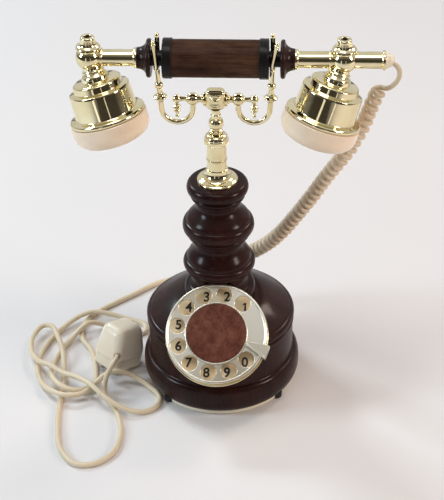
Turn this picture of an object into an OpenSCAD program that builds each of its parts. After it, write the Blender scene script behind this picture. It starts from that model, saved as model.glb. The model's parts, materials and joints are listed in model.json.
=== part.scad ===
// Rotary desk telephone on a turned wood pedestal, with a brass cradle and a French style handset.
// Millimetres. Origin on the column axis at the standing surface, +Z up, the dial faces -Y,
// and the handset lies along X with its cord end at +X.

/* [Base] */
// Largest radius of the turned base, at its lower bulge
base_r = 61; // [60.5:0.1:61.5]
// Radius of the upright wall of the base
wall_r = 56.3; // [56:0.1:56.6]
// Height of the wood's lower edge above the standing surface
wood_bottom = 5; // [4.8:0.1:5.2]
// Radius of the cream base plate
plate_r = 55.5; // [55.2:0.1:55.8]
// Radius of the circle that carries the rubber feet
foot_circle_r = 53.5; // [53:0.1:54]
// Radius of one rubber foot
foot_r = 4.5; // [4:0.1:4.6]

/* [Column] */
// Height of the column's top face
column_top = 181; // [180.8:0.1:181.2]
// Radius of the lowest bulge of the column
bulge_r = 27.6; // [27:0.1:27.8]
// Radius of the brass flange on the column
flange_r = 15.3; // [14.5:0.1:15.4]
// Outer radius of the brass guide tube
guide_r = 7.4; // [7.2:0.1:7.6]
// Largest radius of the guide cap
cap_r = 9.1; // [8.9:0.1:9.4]

/* [Dial] */
// Elevation of the dial's face direction, in degrees
dial_tilt = 47.7; // [47.2:0.1:48.2]
// Distance of the finger wheel's middle in front of the column axis
dial_front = 50; // [49.8:0.1:50.4]
// Height of the finger wheel's middle
dial_height = 75.1; // [74.8:0.1:75.6]
// Radius of the finger wheel
wheel_r = 38.5; // [38:0.1:38.6]
// Radius of the circle of finger holes
hole_circle_r = 30.1; // [29.8:0.1:30.4]
// Radius of one finger hole
finger_r = 6; // [5.8:0.1:6.1]
// Radius of the wood hub disc
hub_r = 22.6; // [22:0.1:22.6]

/* [Cradle] */
// Height of the cradle's side arms
arm_z = 250; // [249.8:0.1:250.2]
// Distance of each fork from the column axis
fork_x = 41.5; // [41.4:0.1:41.6]
// Outward lean of the left front prong at its tip
left_splay = 1.5; // [0:0.1:2]
// Outward lean of the right front prong at its tip
right_splay = 4; // [3:0.1:4.1]
// Height of the fork tips
prong_top = 301; // [300:0.5:301.5]

/* [Handset] */
// Height of the handset's axis
handset_z = 283.3; // [283.2:0.1:283.6]
// Sideways shift of the handset in its forks
handset_x = 1; // [0.9:0.1:1.1]
// Radius of the wood grip
grip_r = 13.8; // [13:0.1:14.2]
// Half the length of the wood grip
grip_half = 31.3; // [31:0.1:31.4]
// Distance of each ball joint from the handset's middle
ball_x = 91.4; // [91:0.1:92]
// Radius of a ball joint
ball_r = 9.6; // [9.5:0.05:9.65]
// Inward tilt of the left cup, in degrees
left_tilt = 15.5; // [14:0.5:17]
// Inward tilt of the right cup, in degrees
right_tilt = 18.5; // [17:0.5:19]
// Forward lean of both cups, in degrees
cup_lean = 10; // [0:1:12]
// Radius of the main brass cup
cup_r = 23; // [22.5:0.1:23.2]
// Radius of the cream ear cap
ear_cap_r = 28.6; // [28.2:0.1:29]

/* [Cords] */
// Diameter of the curly handset cord
curl_d = 3.8; // [3.6:0.1:3.9]
// Radius of a curl, at the middle of the cord
curl_r = 4.3; // [4.2:0.1:4.4]
// Diameter of the line cord
line_d = 4.2; // [4:0.1:4.3]

/* [Hidden] */
$fn = 64;

// Colours of the materials
wood_dark = [0.16, 0.05, 0.04];
wood_grip = [0.25, 0.13, 0.10];
brass = [0.85, 0.72, 0.40];
pale_brass = [0.82, 0.77, 0.62];
steel = [0.62, 0.63, 0.65];
black = [0.03, 0.03, 0.03];
cream = [0.90, 0.82, 0.66];
beige = [0.80, 0.72, 0.56];
tan = [0.82, 0.70, 0.50];
copper = [0.70, 0.38, 0.20];
board_green = [0.10, 0.30, 0.16];

// Base and stand
cavity_r = 49;
column_bottom = 78;
plate_bottom = 0.8;
shoulder_r = wall_r + 1.2;
dome_start = [53.7, 65.5];
roof_z = 70;
foot_angles = [-136, -34, 34, 136];
screw_circle_r = 52;
tie_r = 5;
tie_bore_r = 2.6;
tie_fit = 0.1;
tie_bottom = 58;
tie_top = 186;
grommet_x = 9;
grommet_z = 12;
grommet_y = 62.5;

// Dial stack, measured along the dial's own axis from the middle of the finger wheel
wheel_half = 1;
plate_top_s = -6;
bezel_front_s = -7;
bezel_back_s = -9.5;
bezel_r = wheel_r + 0.8;
case_r = 30;
case_wall = 1.4;
case_back_s = -31;
case_floor_s = case_back_s + 1.5;
shaft_r = 3;
gear_module = 0.8;
gear_teeth = 40;
pinion_teeth = 12;
gear_distance = gear_module * (gear_teeth + pinion_teeth) / 2;
gear_backlash = 0.14;
pressure_angle = 20;
governor_angle = 200;
stop_angle = -20;
first_hole_angle = 50;
hole_step = 30;

// Cradle
stem_r = 4.5;
stem_bottom = 204;
cap_bottom = 213.2;
rod_r = 2;
rod_bottom = 50;
block_bottom = 242.7;
block_top = 258.3;
block_half = 7.2;
block_depth = 4.8;
arm_ball_x = 16.5;
arm_ball_r = 4.8;
end_ball_x = 28.1;
end_ball_r = 3.2;
hook_rod_r = 2;
hook_z = 242;
leg_x = 39.4;
hook_mid_x = (arm_ball_x + leg_x) / 2;
hook_bend_r = (leg_x - arm_ball_x) / 2;
fork_r = 8.1;
leg_lean = atan((fork_x - leg_x) / (handset_z - fork_r - hook_z));
prong_r = 1.75;

// Handset
core_r = 5.8;
core_fit = 0.1;
collar_r = 14.7;
collar_end = 38;
cap_start = 46.2;
cap_end = 56.5;
core_half = 48.5;
tube_r = 6.1;
tube_bore_r = 4.6;
tube_end = 120.8;
boot_r = 5.2;

// Hook switch and ringer
lever_pivot = [-16, 48];
lever_pin_r = 1;
pin_fit = 0.06;
clapper_y = 10;
gong_at = [19, 26];
gong_r = 14;
gong_bottom = 18;
gong_top = 27;

// Route of the line cord, from its grommet to the plug
line_route = [
    [-9, 62.5, 12], [-9, 74, 10], [-10, 90, 4.5], [-17, 108, 2.2], [-35, 121, 2.2],
    [-58, 117, 2.2], [-80, 98, 2.2], [-98, 82, 2.2], [-112, 67, 2.2], [-118, 50, 2.2],
    [-116, 34, 2.2], [-108, 21, 2.2], [-103, 6, 2.2], [-100, -10, 2.2], [-100, -23, 2.6],
    [-108, -35, 5.5], [-120, -36, 7.5], [-131, -26, 7.5], [-136, -8, 4], [-133, 14, 2.2],
    [-125, 33, 3.5], [-113, 47, 9], [-100, 52, 4], [-88, 48, 2.2], [-76, 42, 2.2],
    [-66, 46, 2.2], [-68, 57, 2.2], [-82, 63, 2.2], [-98, 66, 5], [-114, 64, 7.5],
    [-129, 54, 4.5], [-140, 37, 2.2], [-147, 18, 2.2], [-148, -4, 2.2], [-142, -23, 2.2],
    [-132, -38, 6.5], [-119, -45, 8], [-107, -41, 7], [-98, -31, 9], [-91, -23, 11.5],
    [-83, -20.5, 13], [-74, -19.5, 11], [-65, -21, 7], [-56, -26, 3.4], [-48, -35, 2.2],
    [-47, -46, 2.2], [-55, -55, 2.2], [-67, -58, 4.5], [-80, -54, 8], [-91, -46, 11], [-101, -37, 13],
    [-113, -26, 11], [-125, -19, 9.5], [-136, -11, 10.5], [-147, -3, 8.5], [-155, 13, 5],
    [-157, 31, 5], [-151, 45, 6.5], [-142, 43, 8], [-135, 28, 8], [-129, 10, 7],
    [-126, -10, 3], [-124, -30, 2.2], [-124, -54, 2.2], [-122, -78, 2.2], [-117, -101, 2.2],
    [-104, -118, 2.2], [-88, -117, 2.2], [-76, -103, 2.2], [-73, -82, 2.2], [-77, -62, 2.2],
    [-83, -49, 2.2], [-88, -41, 2.8], [-90.4, -35, 5.4], [-90.2, -30.6, 10], [-88.8, -28, 15],
    [-86.4, -25.4, 19.4], [-83.8, -21.8, 22.2], [-82, -17.6, 23.2], [-81.8, -14, 22.7],
    [-82, -10.1, 22]
];

// Middle line of the curly cord's coil, and the curls in each stretch of it
coil_route = [
    [118.4, 8.6, 256], [112, 11, 237], [107, 15, 220], [98, 20, 198], [89, 25, 181], [80, 29, 165],
    [70, 33, 146], [59, 37, 127], [48, 41, 109], [37, 46, 94], [26, 52, 82], [16, 60, 71],
    [9, 68, 56], [6, 74, 39], [7, 80, 22]
];
coil_curls = [3.25, 2.5, 3.25, 2.75, 3, 3.75, 4, 4, 3.75, 3.5, 3.25, 3.5, 3.25, 2.75];
// The uncoiled cord between the boot and the coil, and between the coil and its grommet
coil_lead_in = [
    [127.9, -1.7, 281.4], [130, -2.5, 280], [131.6, -3, 276.8], [131.8, -2.7, 272.8], [131, -1.4, 268.8],
    [129.4, 0.6, 264.8], [127.2, 3, 260.8], [124.8, 5.8, 257]
];
coil_lead_out = [
    [3.1, 76, 19.6], [4.4, 72.2, 16.6], [6.4, 68.6, 14], [8.2, 65.6, 12.4], [9, 62.5, 12]
];
curl_rings = 8;
curl_sides = 6;

// Plug, lying on its pins beside the base with one corner to the front
plug_at = [-84, 2, 5];
plug_turn = [-15, 0, -42];
plug_half = [13.8, 16];
plug_corner_r = 6;
plug_base_h = 9;
plug_top_h = 35;
plug_top_r = 8;
plug_pin_h = 6;

// Outlines and tubes
function arc(mid, size, from, to, steps) = [
    for (i = [0:steps])
        let (a = from + (to - from) * i / steps)
            [mid[0] + size[0] * cos(a), mid[1] + size[1] * sin(a)]
];
function s_curve(low, high, steps) = [
    for (i = [0:steps])
        let (t = i / steps)
            [high[0] + (low[0] - high[0]) * (1 + cos(180 * t)) / 2, low[1] + (high[1] - low[1]) * t]
];
function unit(v) = v / norm(v);
function tangents(p) = [
    for (i = [0:len(p) - 1])
        unit(p[min(i + 1, len(p) - 1)] - p[max(i - 1, 0)])
];
function level(v, t) = unit(v - t * (v * t));
function carried(t, first) = [
    for (i = 0, v = level(first, t[0]); i < len(t); i = i + 1, v = i < len(t) ? level(v, t[i]) : v) v
];
function rings(p, r, sides, first) =
    let (t = tangents(p), u = carried(t, first))
        [
            for (i = [0:len(p) - 1])
                for (k = [0:sides - 1])
                    let (a = 360 * k / sides)
                        p[i] + r * (cos(a) * u[i] + sin(a) * cross(t[i], u[i]))
        ];
function tube_faces(count, sides) = concat(
    [for (k = [1:sides - 2]) [0, k, k + 1]],
    [
        for (i = [0:count - 2])
            for (k = [0:sides - 1])
                let (a = i * sides + k, b = i * sides + (k + 1) % sides)
                    each [[a, a + sides, b], [b, a + sides, b + sides]]
    ],
    [for (k = [1:sides - 2]) [(count - 1) * sides, (count - 1) * sides + k + 1, (count - 1) * sides + k]]
);
function smooth(a, b, c, d, t) =
    0.5 * (2 * b + (c - a) * t + (2 * a - 5 * b + 4 * c - d) * t * t + (3 * b - a - 3 * c + d) * t * t * t);
function along(p, u) =
    let (n = len(p), i = min(floor(u), n - 2))
        smooth(p[max(i - 1, 0)], p[i], p[i + 1], p[min(i + 2, n - 1)], u - i);
function sums(v) = [for (i = 0, s = 0; i <= len(v); i = i + 1, s = s + (i <= len(v) ? v[i - 1] : 0)) s];
function self_gap(p, d, near, far) = min([
    for (i = [0:len(p) - 1 - near])
        for (j = [i + near:min(i + far, len(p) - 1)])
            norm(p[i] - p[j])
]) - d;

// Middle line of the cord itself around the coil
coil_sums = sums(coil_curls);
coil_count = coil_sums[len(coil_curls)];
function coil_place(c) =
    let (i = max([for (k = [0:len(coil_curls) - 1]) if (coil_sums[k] <= c) k]))
        i + min(1, (c - coil_sums[i]) / coil_curls[i]);
function coil_point(c) =
    let (
        u = coil_place(c),
        p = along(coil_route, u),
        ahead = along(coil_route, min(u + 0.02, len(coil_route) - 1)),
        t = unit(ahead - along(coil_route, max(u - 0.02, 0))),
        side = unit(cross(t, [0, 1, 0])),
        phase = 360 * c
    )
        p + curl_r * (cos(phase) * side - sin(phase) * cross(t, side));
curl_line = [for (k = [0:floor(coil_count * curl_rings)]) coil_point(k / curl_rings)];
handset_cord_line = concat(coil_lead_in, curl_line, coil_lead_out);
echo(least_gap_of_curly_cord = self_gap(curl_line, curl_d, 5, 20));

spring_turns = 7;
spring_r = 4;
spring_wire_d = 0.9;
spring_span = [tie_top + 0.6, stem_bottom - 0.6];
spring_line = [
    for (k = [0:spring_turns * 12])
        let (t = k / (spring_turns * 12))
            [
                spring_r * cos(360 * spring_turns * t),
                spring_r * sin(360 * spring_turns * t),
                spring_span[0] + (spring_span[1] - spring_span[0]) * t
            ]
];
echo(least_gap_of_plunger_spring = self_gap(spring_line, spring_wire_d, 8, 26));

module tube(line, d, sides, first = [0.3, 1, 0.2]) {
    polyhedron(rings(line, d / 2, sides, first), tube_faces(len(line), sides), convexity = 10);
}

module turned(outline) {
    rotate_extrude() polygon(outline);
}

module at_dial() {
    translate([0, -dial_front, dial_height]) rotate([90 - dial_tilt, 0, 0]) children();
}

module dial_ring(outer, inner, low, high) {
    translate([0, 0, low]) difference() {
        cylinder(r = outer, h = high - low);
        translate([0, 0, -1]) cylinder(r = inner, h = high - low + 2);
    }
}

// Involute gears
function involute(t) = t * 180 / PI - atan(t);
function gear_outline(teeth) =
    let (
        pitch_r = gear_module * teeth / 2,
        base_circle = pitch_r * cos(pressure_angle),
        tip_r = pitch_r + gear_module,
        root_r = pitch_r - 1.25 * gear_module,
        half = 90 / teeth - gear_backlash / 4 / pitch_r * 180 / PI + involute(tan(pressure_angle)),
        last = sqrt(pow(tip_r / base_circle, 2) - 1),
        first = root_r > base_circle ? sqrt(pow(root_r / base_circle, 2) - 1) : 0,
        flank = [
            for (i = [0:5])
                let (t = first + (last - first) * i / 5)
                    [base_circle * sqrt(1 + t * t), half - involute(t)]
        ],
        foot = root_r < base_circle ? [[root_r, half]] : []
    )
        [
            for (k = [0:teeth - 1])
                each concat(
                    [for (p = foot) p[0] * [cos(360 * k / teeth - p[1]), sin(360 * k / teeth - p[1])]],
                    [for (p = flank) p[0] * [cos(360 * k / teeth - p[1]), sin(360 * k / teeth - p[1])]],
                    [
                        for (i = [5:-1:0])
                            let (a = 360 * k / teeth + flank[i][1])
                                flank[i][0] * [cos(a), sin(a)]
                    ],
                    [for (p = foot) p[0] * [cos(360 * k / teeth + p[1]), sin(360 * k / teeth + p[1])]]
                )
        ];

module gear(teeth, h, turn) {
    rotate(turn) linear_extrude(h) polygon(gear_outline(teeth));
}

// Stand
base_outline = concat(
    [[cavity_r, wood_bottom], [base_r - 6, wood_bottom]],
    arc([base_r - 6, wood_bottom + 11], [6, 11], -82, 0, 6),
    arc([wall_r + 0.9, 19], [base_r - wall_r - 0.9, 8.5], 10, 90, 8),
    [[wall_r + 0.3, 27.8], [wall_r, 28.6], [wall_r, 54.4]],
    arc([wall_r, 55.8], [0.9, 1.2], -90, 90, 6),
    arc([shoulder_r - 3.6, 61.2], [3.6, 3.6], -58, 82, 12),
    [[dome_start[0] + 0.4, dome_start[1] - 0.3]],
    [
        for (i = [0:10])
            let (t = i / 10)
                [
                    dome_start[0] + (27 - dome_start[0]) * t,
                    dome_start[1] + (column_bottom - dome_start[1]) * sin(80 * t) / sin(80)
                ]
    ],
    [
        [tie_r + tie_fit, column_bottom], [tie_r + tie_fit, roof_z], [16, roof_z], [44, 60],
        [cavity_r, 54]
    ]
);

module dial_seat(gap) {
    at_dial() turned([
        [0, case_back_s - gap], [case_r + gap, case_back_s - gap], [case_r + gap, bezel_back_s - gap],
        [bezel_r + 1, bezel_back_s - gap], [bezel_r + 1, wheel_half + 1.2], [0, wheel_half + 1.2]
    ]);
}

module base_body() {
    color(wood_dark) difference() {
        rotate(90) turned(base_outline);
        at_dial() turned([
            [0, case_back_s - 6], [case_r + 0.1, case_back_s - 6], [case_r + 0.1, bezel_back_s],
            [bezel_r + 1, bezel_back_s], [bezel_r + 1, 40], [0, 40]
        ]);
        for (x = [-grommet_x, grommet_x])
            translate([x, 40, grommet_z]) rotate([-90, 0, 0]) cylinder(r = 3.5, h = 30);
        for (a = [0:90:270])
            rotate(a) translate([screw_circle_r, 0, wood_bottom - 1]) cylinder(r = 1.55, h = 9.5);
    }
}

module base_plate() {
    color(cream) difference() {
        union() {
            translate([0, 0, plate_bottom + 0.8]) cylinder(r = plate_r, h = wood_bottom - plate_bottom - 0.8);
            translate([0, 0, plate_bottom]) cylinder(r1 = plate_r - 0.8, r2 = plate_r, h = 0.8);
        }
        for (a = foot_angles)
            rotate(a) translate([foot_circle_r, 0, 0]) cylinder(r = foot_r + 0.3, h = 10);
        for (a = [0:90:270]) rotate(a) translate([screw_circle_r, 0, 0]) {
            cylinder(r = 1.6, h = 10);
            cylinder(r = 3.1, h = plate_bottom + 1.5);
        }
    }
}

module rubber_feet() {
    color(black)
        for (a = foot_angles) rotate(a) translate([foot_circle_r, 0, 0])
            turned([[0, 0], [foot_r - 0.6, 0], [foot_r, 0.6], [foot_r, wood_bottom], [0, wood_bottom]]);
}

module plate_screws() {
    color(steel)
        for (a = [0:90:270]) rotate(a) translate([screw_circle_r, 0, plate_bottom]) difference() {
            union() {
                translate([0, 0, 0.1]) cylinder(r = 3, h = 1.4);
                cylinder(r = 1.5, h = 11);
            }
            translate([-4, -0.4, -1]) cube([8, 0.8, 1.8]);
        }
}

column_outline = concat(
    [[tie_r + tie_fit, column_bottom], [26.4, column_bottom]],
    arc([24.5, 83], [3, 5.2], -60, 70, 10),
    [[25.2, 88]],
    arc([25.2, 94.5], [-5.6, -6.5], 90, 0, 8),
    arc([19.9, 97.8], [1.7, 2.1], -80, 80, 6),
    arc([22, 102], [2.3, 1.9], -80, 80, 6),
    arc([bulge_r - 3, 108.2], [3, 4], -75, 70, 10),
    s_curve([bulge_r - 2.7, 112.2], [19, 126], 12),
    arc([19.5, 130.6], [1.6, 2], -80, 80, 6),
    arc([21.8, 134.8], [2.2, 1.9], -80, 80, 6),
    arc([24.2, 142], [3, 5], -80, 70, 10),
    s_curve([24.4, 147], [16, 160], 12),
    arc([16.4, 164.4], [1.7, 2], -80, 80, 6),
    arc([18.6, 168.6], [2, 1.9], -80, 80, 6),
    arc([19.6, 175.6], [3.7, 4.8], -80, 88, 14),
    [[flange_r + 0.4, column_top], [tie_r + tie_fit, column_top]]
);

module column() {
    color(wood_dark) difference() {
        turned(column_outline);
        dial_seat(0.3);
    }
}

module tie_tube() {
    color(steel) stand_ring(tie_r, tie_bore_r, tie_bottom, tie_top);
}

module stand_ring(outer, inner, low, high) {
    translate([0, 0, low]) difference() {
        cylinder(r = outer, h = high - low);
        translate([0, 0, -1]) cylinder(r = inner, h = high - low + 2);
    }
}

module tie_nut() {
    color(steel) difference() {
        union() {
            translate([0, 0, roof_z - 1.5]) cylinder(r = 9, h = 1.5);
            translate([0, 0, roof_z - 7.5]) cylinder(r = 8.5, h = 6, $fn = 6);
        }
        translate([0, 0, roof_z - 10]) cylinder(r = tie_r + 0.05, h = 12);
    }
}

module column_flange() {
    color(brass) turned(concat(
        [[tie_r + tie_fit, column_top], [flange_r, column_top], [flange_r, column_top + 1.2]],
        [[flange_r - 0.8, column_top + 1.9]],
        arc([flange_r - 0.8, column_top + 10], [-6.6, -7.6], 80, 0, 8),
        [[8.2, column_top + 10.6], [guide_r - 0.6, column_top + 10.6], [tie_r + tie_fit, column_top + 10.6]]
    ));
}

module guide_tube() {
    low = column_top + 10.6;
    color(brass) turned(concat(
        [[5.3, low], [guide_r, low], [guide_r, 199.2]],
        arc([guide_r, 200], [0.5, 0.8], -80, 80, 6),
        [[guide_r, cap_bottom], [5.3, cap_bottom]]
    ));
}

module guide_cap() {
    color(brass) difference() {
        turned(concat(
            [[4.9, cap_bottom], [cap_r - 0.6, cap_bottom], [cap_r, cap_bottom + 0.5]],
            [[cap_r, cap_bottom + 3.8], [cap_r - 0.3, cap_bottom + 4.1]],
            arc([5, cap_bottom + 4.1], [cap_r - 5.4, 3.9], 4, 86, 8),
            [[4.9, cap_bottom + 8]]
        ));
        for (a = [0:15:345])
            rotate(a) translate([cap_r + 0.2, 0, cap_bottom + 0.8]) cylinder(r = 0.5, h = 2.6, $fn = 6);
    }
}

module plunger_spring() {
    color(steel) tube(spring_line, spring_wire_d, 6, [0, 0, 1]);
}

// Hook switch
module hook_bracket() {
    color(steel) difference() {
        union() {
            translate([-12, -20, wood_bottom]) cube([24, 8, 1.5]);
            for (x = [-5.5, 4])
                translate([x, -20, wood_bottom]) cube([1.5, 8, lever_pivot[1] + 4 - wood_bottom]);
        }
        translate([-10, lever_pivot[0], lever_pivot[1]]) rotate([0, 90, 0])
            cylinder(r = lever_pin_r + 0.02, h = 20);
    }
}

module pivot_pins() {
    color(steel) {
        translate([-6, lever_pivot[0], lever_pivot[1]]) rotate([0, 90, 0]) cylinder(r = lever_pin_r, h = 12);
        translate([0, clapper_y, 17]) cylinder(r = 1, h = 11);
    }
}

module hook_contacts() {
    color(black) translate([-5.5, -26, 38]) cube([11, 6, 10]);
    color(brass)
        for (y = [-24.5, -22.8, -21.1])
            translate([-2, y, 48]) cube([4, 0.4, 8]);
}

module hook_lever() {
    color(brass) difference() {
        union() {
            translate([-3, lever_pivot[0] - 3, lever_pivot[1] - 1.2]) cube([6, 23, 2.4]);
            translate([-3.4, lever_pivot[0], lever_pivot[1]]) rotate([0, 90, 0]) cylinder(r = 3, h = 6.8);
        }
        translate([-10, lever_pivot[0], lever_pivot[1]]) rotate([0, 90, 0])
            cylinder(r = lever_pin_r + pin_fit, h = 20);
    }
}

// Ringer
module ringer_frame() {
    color(steel) difference() {
        union() {
            translate([-26, 2, wood_bottom]) cube([52, 34, 1.5]);
            translate([-2, 4, wood_bottom]) cube([4, 2, 22.5]);
            for (z = [17, 26]) translate([-3, 4, z]) cube([6, 9, 1.5]);
        }
        translate([0, clapper_y, 10]) cylinder(r = 1.02, h = 30);
        for (x = [-1, 1]) translate([x * gong_at[0], gong_at[1], 0]) cylinder(r = 2.05, h = 20);
    }
}

module ringer_coils() {
    for (x = [-10, 10]) translate([x, 10, wood_bottom + 1.5]) {
        color(copper) translate([0, 0, 1.2]) cylinder(r = 5, h = 8);
        color(black) for (z = [0, 9.2]) translate([0, 0, z]) cylinder(r = 5.6, h = 1.2);
        color(steel) cylinder(r = 2, h = 12.4);
    }
}

module gongs() {
    color(pale_brass)
        for (x = [-1, 1]) translate([x * gong_at[0], gong_at[1], 0])
            turned(concat(
                [[gong_r - 1.1, gong_bottom], [gong_r, gong_bottom]],
                arc([gong_r - 6, gong_top - 5], [6, 5], 0, 90, 6),
                [[2.1, gong_top], [2.1, gong_top - 1.1]],
                arc([gong_r - 6, gong_top - 5], [4.9, 3.9], 90, 0, 6)
            ));
}

module gong_posts() {
    color(steel)
        for (x = [-1, 1]) translate([x * gong_at[0], gong_at[1], wood_bottom]) {
            cylinder(r = 2, h = gong_top - wood_bottom + 0.2);
            translate([0, 0, 1.5]) cylinder(r = 4, h = gong_top - wood_bottom - 2.7);
            translate([0, 0, gong_top - wood_bottom]) cylinder(r = 3.4, h = 1.6);
        }
}

module clapper() {
    color(steel) difference() {
        union() {
            translate([0, clapper_y, 19]) cylinder(r = 2.6, h = 6.6);
            translate([0, clapper_y + 1.8, 22.3]) rotate([-90, 0, 0]) cylinder(r = 0.8, h = 14.4);
            translate([0, gong_at[1], 22.3]) sphere(r = 2);
        }
        translate([0, clapper_y, 10]) cylinder(r = 1 + pin_fit, h = 30);
    }
}

module circuit_board() {
    color(board_green) translate([-40, -24, 12]) cube([24, 38, 1.6]);
    color(beige)
        for (x = [-37, -19], y = [-21, -2])
            translate([x, y, wood_bottom]) cylinder(r = 2, h = 12.5 - wood_bottom);
    color(black) translate([-38, -10, 13.6]) cube([8, 18, 9]);
    color(copper) translate([-23, -6, 13.6]) cylinder(r = 5, h = 8);
    color(brass)
        for (y = [-20:5:-15], x = [-36:6:-20])
            translate([x, y, 13.6]) cylinder(r = 1.6, h = 2);
}

// Cords and plug
module grommet(x, bead_color) {
    color(bead_color) translate([x, 0, grommet_z]) rotate([-90, 0, 0]) {
        translate([0, 0, 46]) cylinder(r = 3.4, h = 15.2);
        translate([0, 0, 61.1]) cylinder(r1 = 5.2, r2 = 4.2, h = grommet_y - 61.1);
    }
}

module handset_grommet() {
    grommet(grommet_x, cream);
}

module line_grommet() {
    grommet(-grommet_x, beige);
}

module line_cord() {
    color(beige) tube(line_route, line_d, 10);
}

module handset_cord() {
    color(cream) tube(handset_cord_line, curl_d, curl_sides);
}

module at_plug() {
    translate(plug_at) rotate(plug_turn) children();
}

module plug_corners() {
    for (x = [-1, 1], y = [-1, 1])
        translate([x * (plug_half[0] - plug_corner_r), y * (plug_half[1] - plug_corner_r), 0]) children();
}

module plug_cover() {
    r = plug_corner_r;
    color(cream) at_plug() difference() {
        hull() {
            plug_corners() translate([0, 0, plug_base_h]) cylinder(r = r, h = 6, $fn = 24);
            for (x = [-1, 1], y = [-1, 1])
                translate([x * 4.6, y * 6.6, plug_top_h - plug_top_r]) sphere(r = plug_top_r, $fn = 24);
        }
        translate([plug_half[0] - 1.8, 1.8 - plug_half[1], plug_base_h + 5.4]) rotate([0, 0, -45])
            rotate([0, 90, 0]) translate([0, 0, -3.6]) cylinder(r = line_d / 2 + 0.6, h = 8);
    }
}

module plug_base() {
    color(cream) at_plug() difference() {
        hull() plug_corners() cylinder(r = plug_corner_r - 0.4, h = plug_base_h, $fn = 24);
        for (x = [-6, 6]) translate([x, -9, -1]) cylinder(r = 1.92, h = 5);
    }
}

module plug_pins() {
    color(steel) at_plug()
        for (x = [-6, 6])
            translate([x, -9, -plug_pin_h])
                turned([[0, 0], [1.3, 0], [1.9, 0.8], [1.9, plug_pin_h + 3.9], [0, plug_pin_h + 3.9]]);
}

// Dial
module dial_case() {
    color(brass) at_dial() {
        dial_ring(case_r, case_r - case_wall, case_back_s, bezel_front_s);
        dial_ring(bezel_r, case_r - 0.5, bezel_back_s, bezel_front_s);
        translate([0, 0, case_back_s]) cylinder(r = case_r - case_wall + 0.5, h = case_floor_s - case_back_s);
    }
}

module number_plate() {
    color(tan) at_dial() dial_ring(wheel_r - 1, 8, bezel_front_s, plate_top_s);
}

module finger_wheel() {
    color(pale_brass) at_dial() difference() {
        turned([
            [0, -wheel_half], [wheel_r - 2, -wheel_half], [wheel_r - 0.6, -wheel_half - 0.6],
            [wheel_r, -wheel_half], [wheel_r, wheel_half - 0.4], [wheel_r - 0.8, wheel_half + 0.2],
            [wheel_r - 2, wheel_half], [0, wheel_half]
        ]);
        for (k = [0:9])
            rotate(first_hole_angle + hole_step * k) translate([hole_circle_r, 0, -5])
                cylinder(r = finger_r, h = 10);
    }
}

module hub_disc() {
    color(wood_grip) at_dial() turned([
        [0, wheel_half], [hub_r, wheel_half], [hub_r, wheel_half + 1.4], [hub_r - 0.8, wheel_half + 2],
        [0, wheel_half + 2.4]
    ]);
}

module hub_ring() {
    color(pale_brass) at_dial() turned([
        [hub_r + 0.05, wheel_half], [hub_r + 1.2, wheel_half], [hub_r + 1, wheel_half + 0.8],
        [hub_r + 0.5, wheel_half + 1.2], [hub_r + 0.05, wheel_half + 1.2]
    ]);
}

module finger_stop() {
    tip_r = hub_r + 1.7;
    color(brass) at_dial() rotate(stop_angle) {
        translate([0, 0, 1.7]) linear_extrude(0.9) polygon([
            [tip_r, -0.6], [bezel_r + 1.6, -5.2], [bezel_r + 2.2, -4.6], [bezel_r + 2.2, 4.6],
            [bezel_r + 1.6, 5.2], [tip_r, 2.4]
        ]);
        translate([0, 0, 2.6]) linear_extrude(0.8) polygon([
            [tip_r, -0.6], [bezel_r + 1.6, -5.2], [bezel_r + 1.6, -4], [tip_r, 0.6]
        ]);
        intersection() {
            dial_ring(bezel_r + 2, bezel_r + 0.05, bezel_back_s, 1.8);
            translate([bezel_r - 4, -4.6, -20]) cube([10, 9.2, 40]);
        }
    }
}

module dial_bearing() {
    color(brass) at_dial() {
        dial_ring(6, shaft_r + pin_fit, case_floor_s, -20);
        dial_ring(9, 5.5, case_floor_s, case_floor_s + 1.5);
    }
}

module dial_shaft() {
    color(steel) at_dial() {
        translate([0, 0, case_floor_s + 0.3]) cylinder(r = shaft_r, h = -5 - case_floor_s);
        translate([0, 0, -5]) cylinder(r = 6.5, h = 5 - wheel_half);
    }
}

module dial_gear() {
    color(brass) at_dial() translate([0, 0, -16.5]) difference() {
        union() {
            gear(gear_teeth, 2.5, governor_angle);
            translate([0, 0, 2]) cylinder(r = 6, h = 2.5);
        }
        translate([0, 0, -1]) cylinder(r = shaft_r + 0.02, h = 8);
    }
}

spiral_turns = 3;
function spiral(offset_r) = [
    for (k = [0:spiral_turns * 20])
        let (t = k / 20)
            (4.2 + 3.2 * t + offset_r) * [cos(360 * t), sin(360 * t)]
];

module dial_spring() {
    color(steel) at_dial() translate([0, 0, -11.5]) linear_extrude(3)
        polygon(concat(spiral(0), [for (i = [spiral_turns * 20:-1:0]) spiral(0.5)[i]]));
}

module at_governor() {
    at_dial() rotate(governor_angle) translate([gear_distance, 0, 0]) children();
}

module governor_shaft() {
    color(steel) at_governor() {
        translate([0, 0, -29.2]) cylinder(r = 1.5, h = 18);
        translate([0, 0, -17]) gear(pinion_teeth, 3.5, 180 + 180 / pinion_teeth);
        translate([0, 0, -25]) cylinder(r = 5.6, h = 1.2);
        for (a = [0, 180]) rotate(a) translate([2.2, -1.6, -24]) cube([3, 3.2, 3.5]);
    }
}

module governor_cup() {
    color(brass) at_governor() {
        dial_ring(7.2, 6.2, case_floor_s, -19);
        dial_ring(6.7, 1.5 + pin_fit, case_floor_s, case_floor_s + 1.5);
    }
}

module impulse_contacts() {
    color(black) at_dial() translate([16, 8, case_floor_s]) cube([6, 9, 8]);
    color(brass) at_dial()
        for (y = [9.5, 12.5, 15.5])
            translate([17, y, case_floor_s + 8]) cube([4, 0.4, 5]);
}

// Cradle
module plunger_rod() {
    color(steel) translate([0, 0, rod_bottom]) cylinder(r = rod_r, h = stem_bottom - rod_bottom);
}

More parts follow.
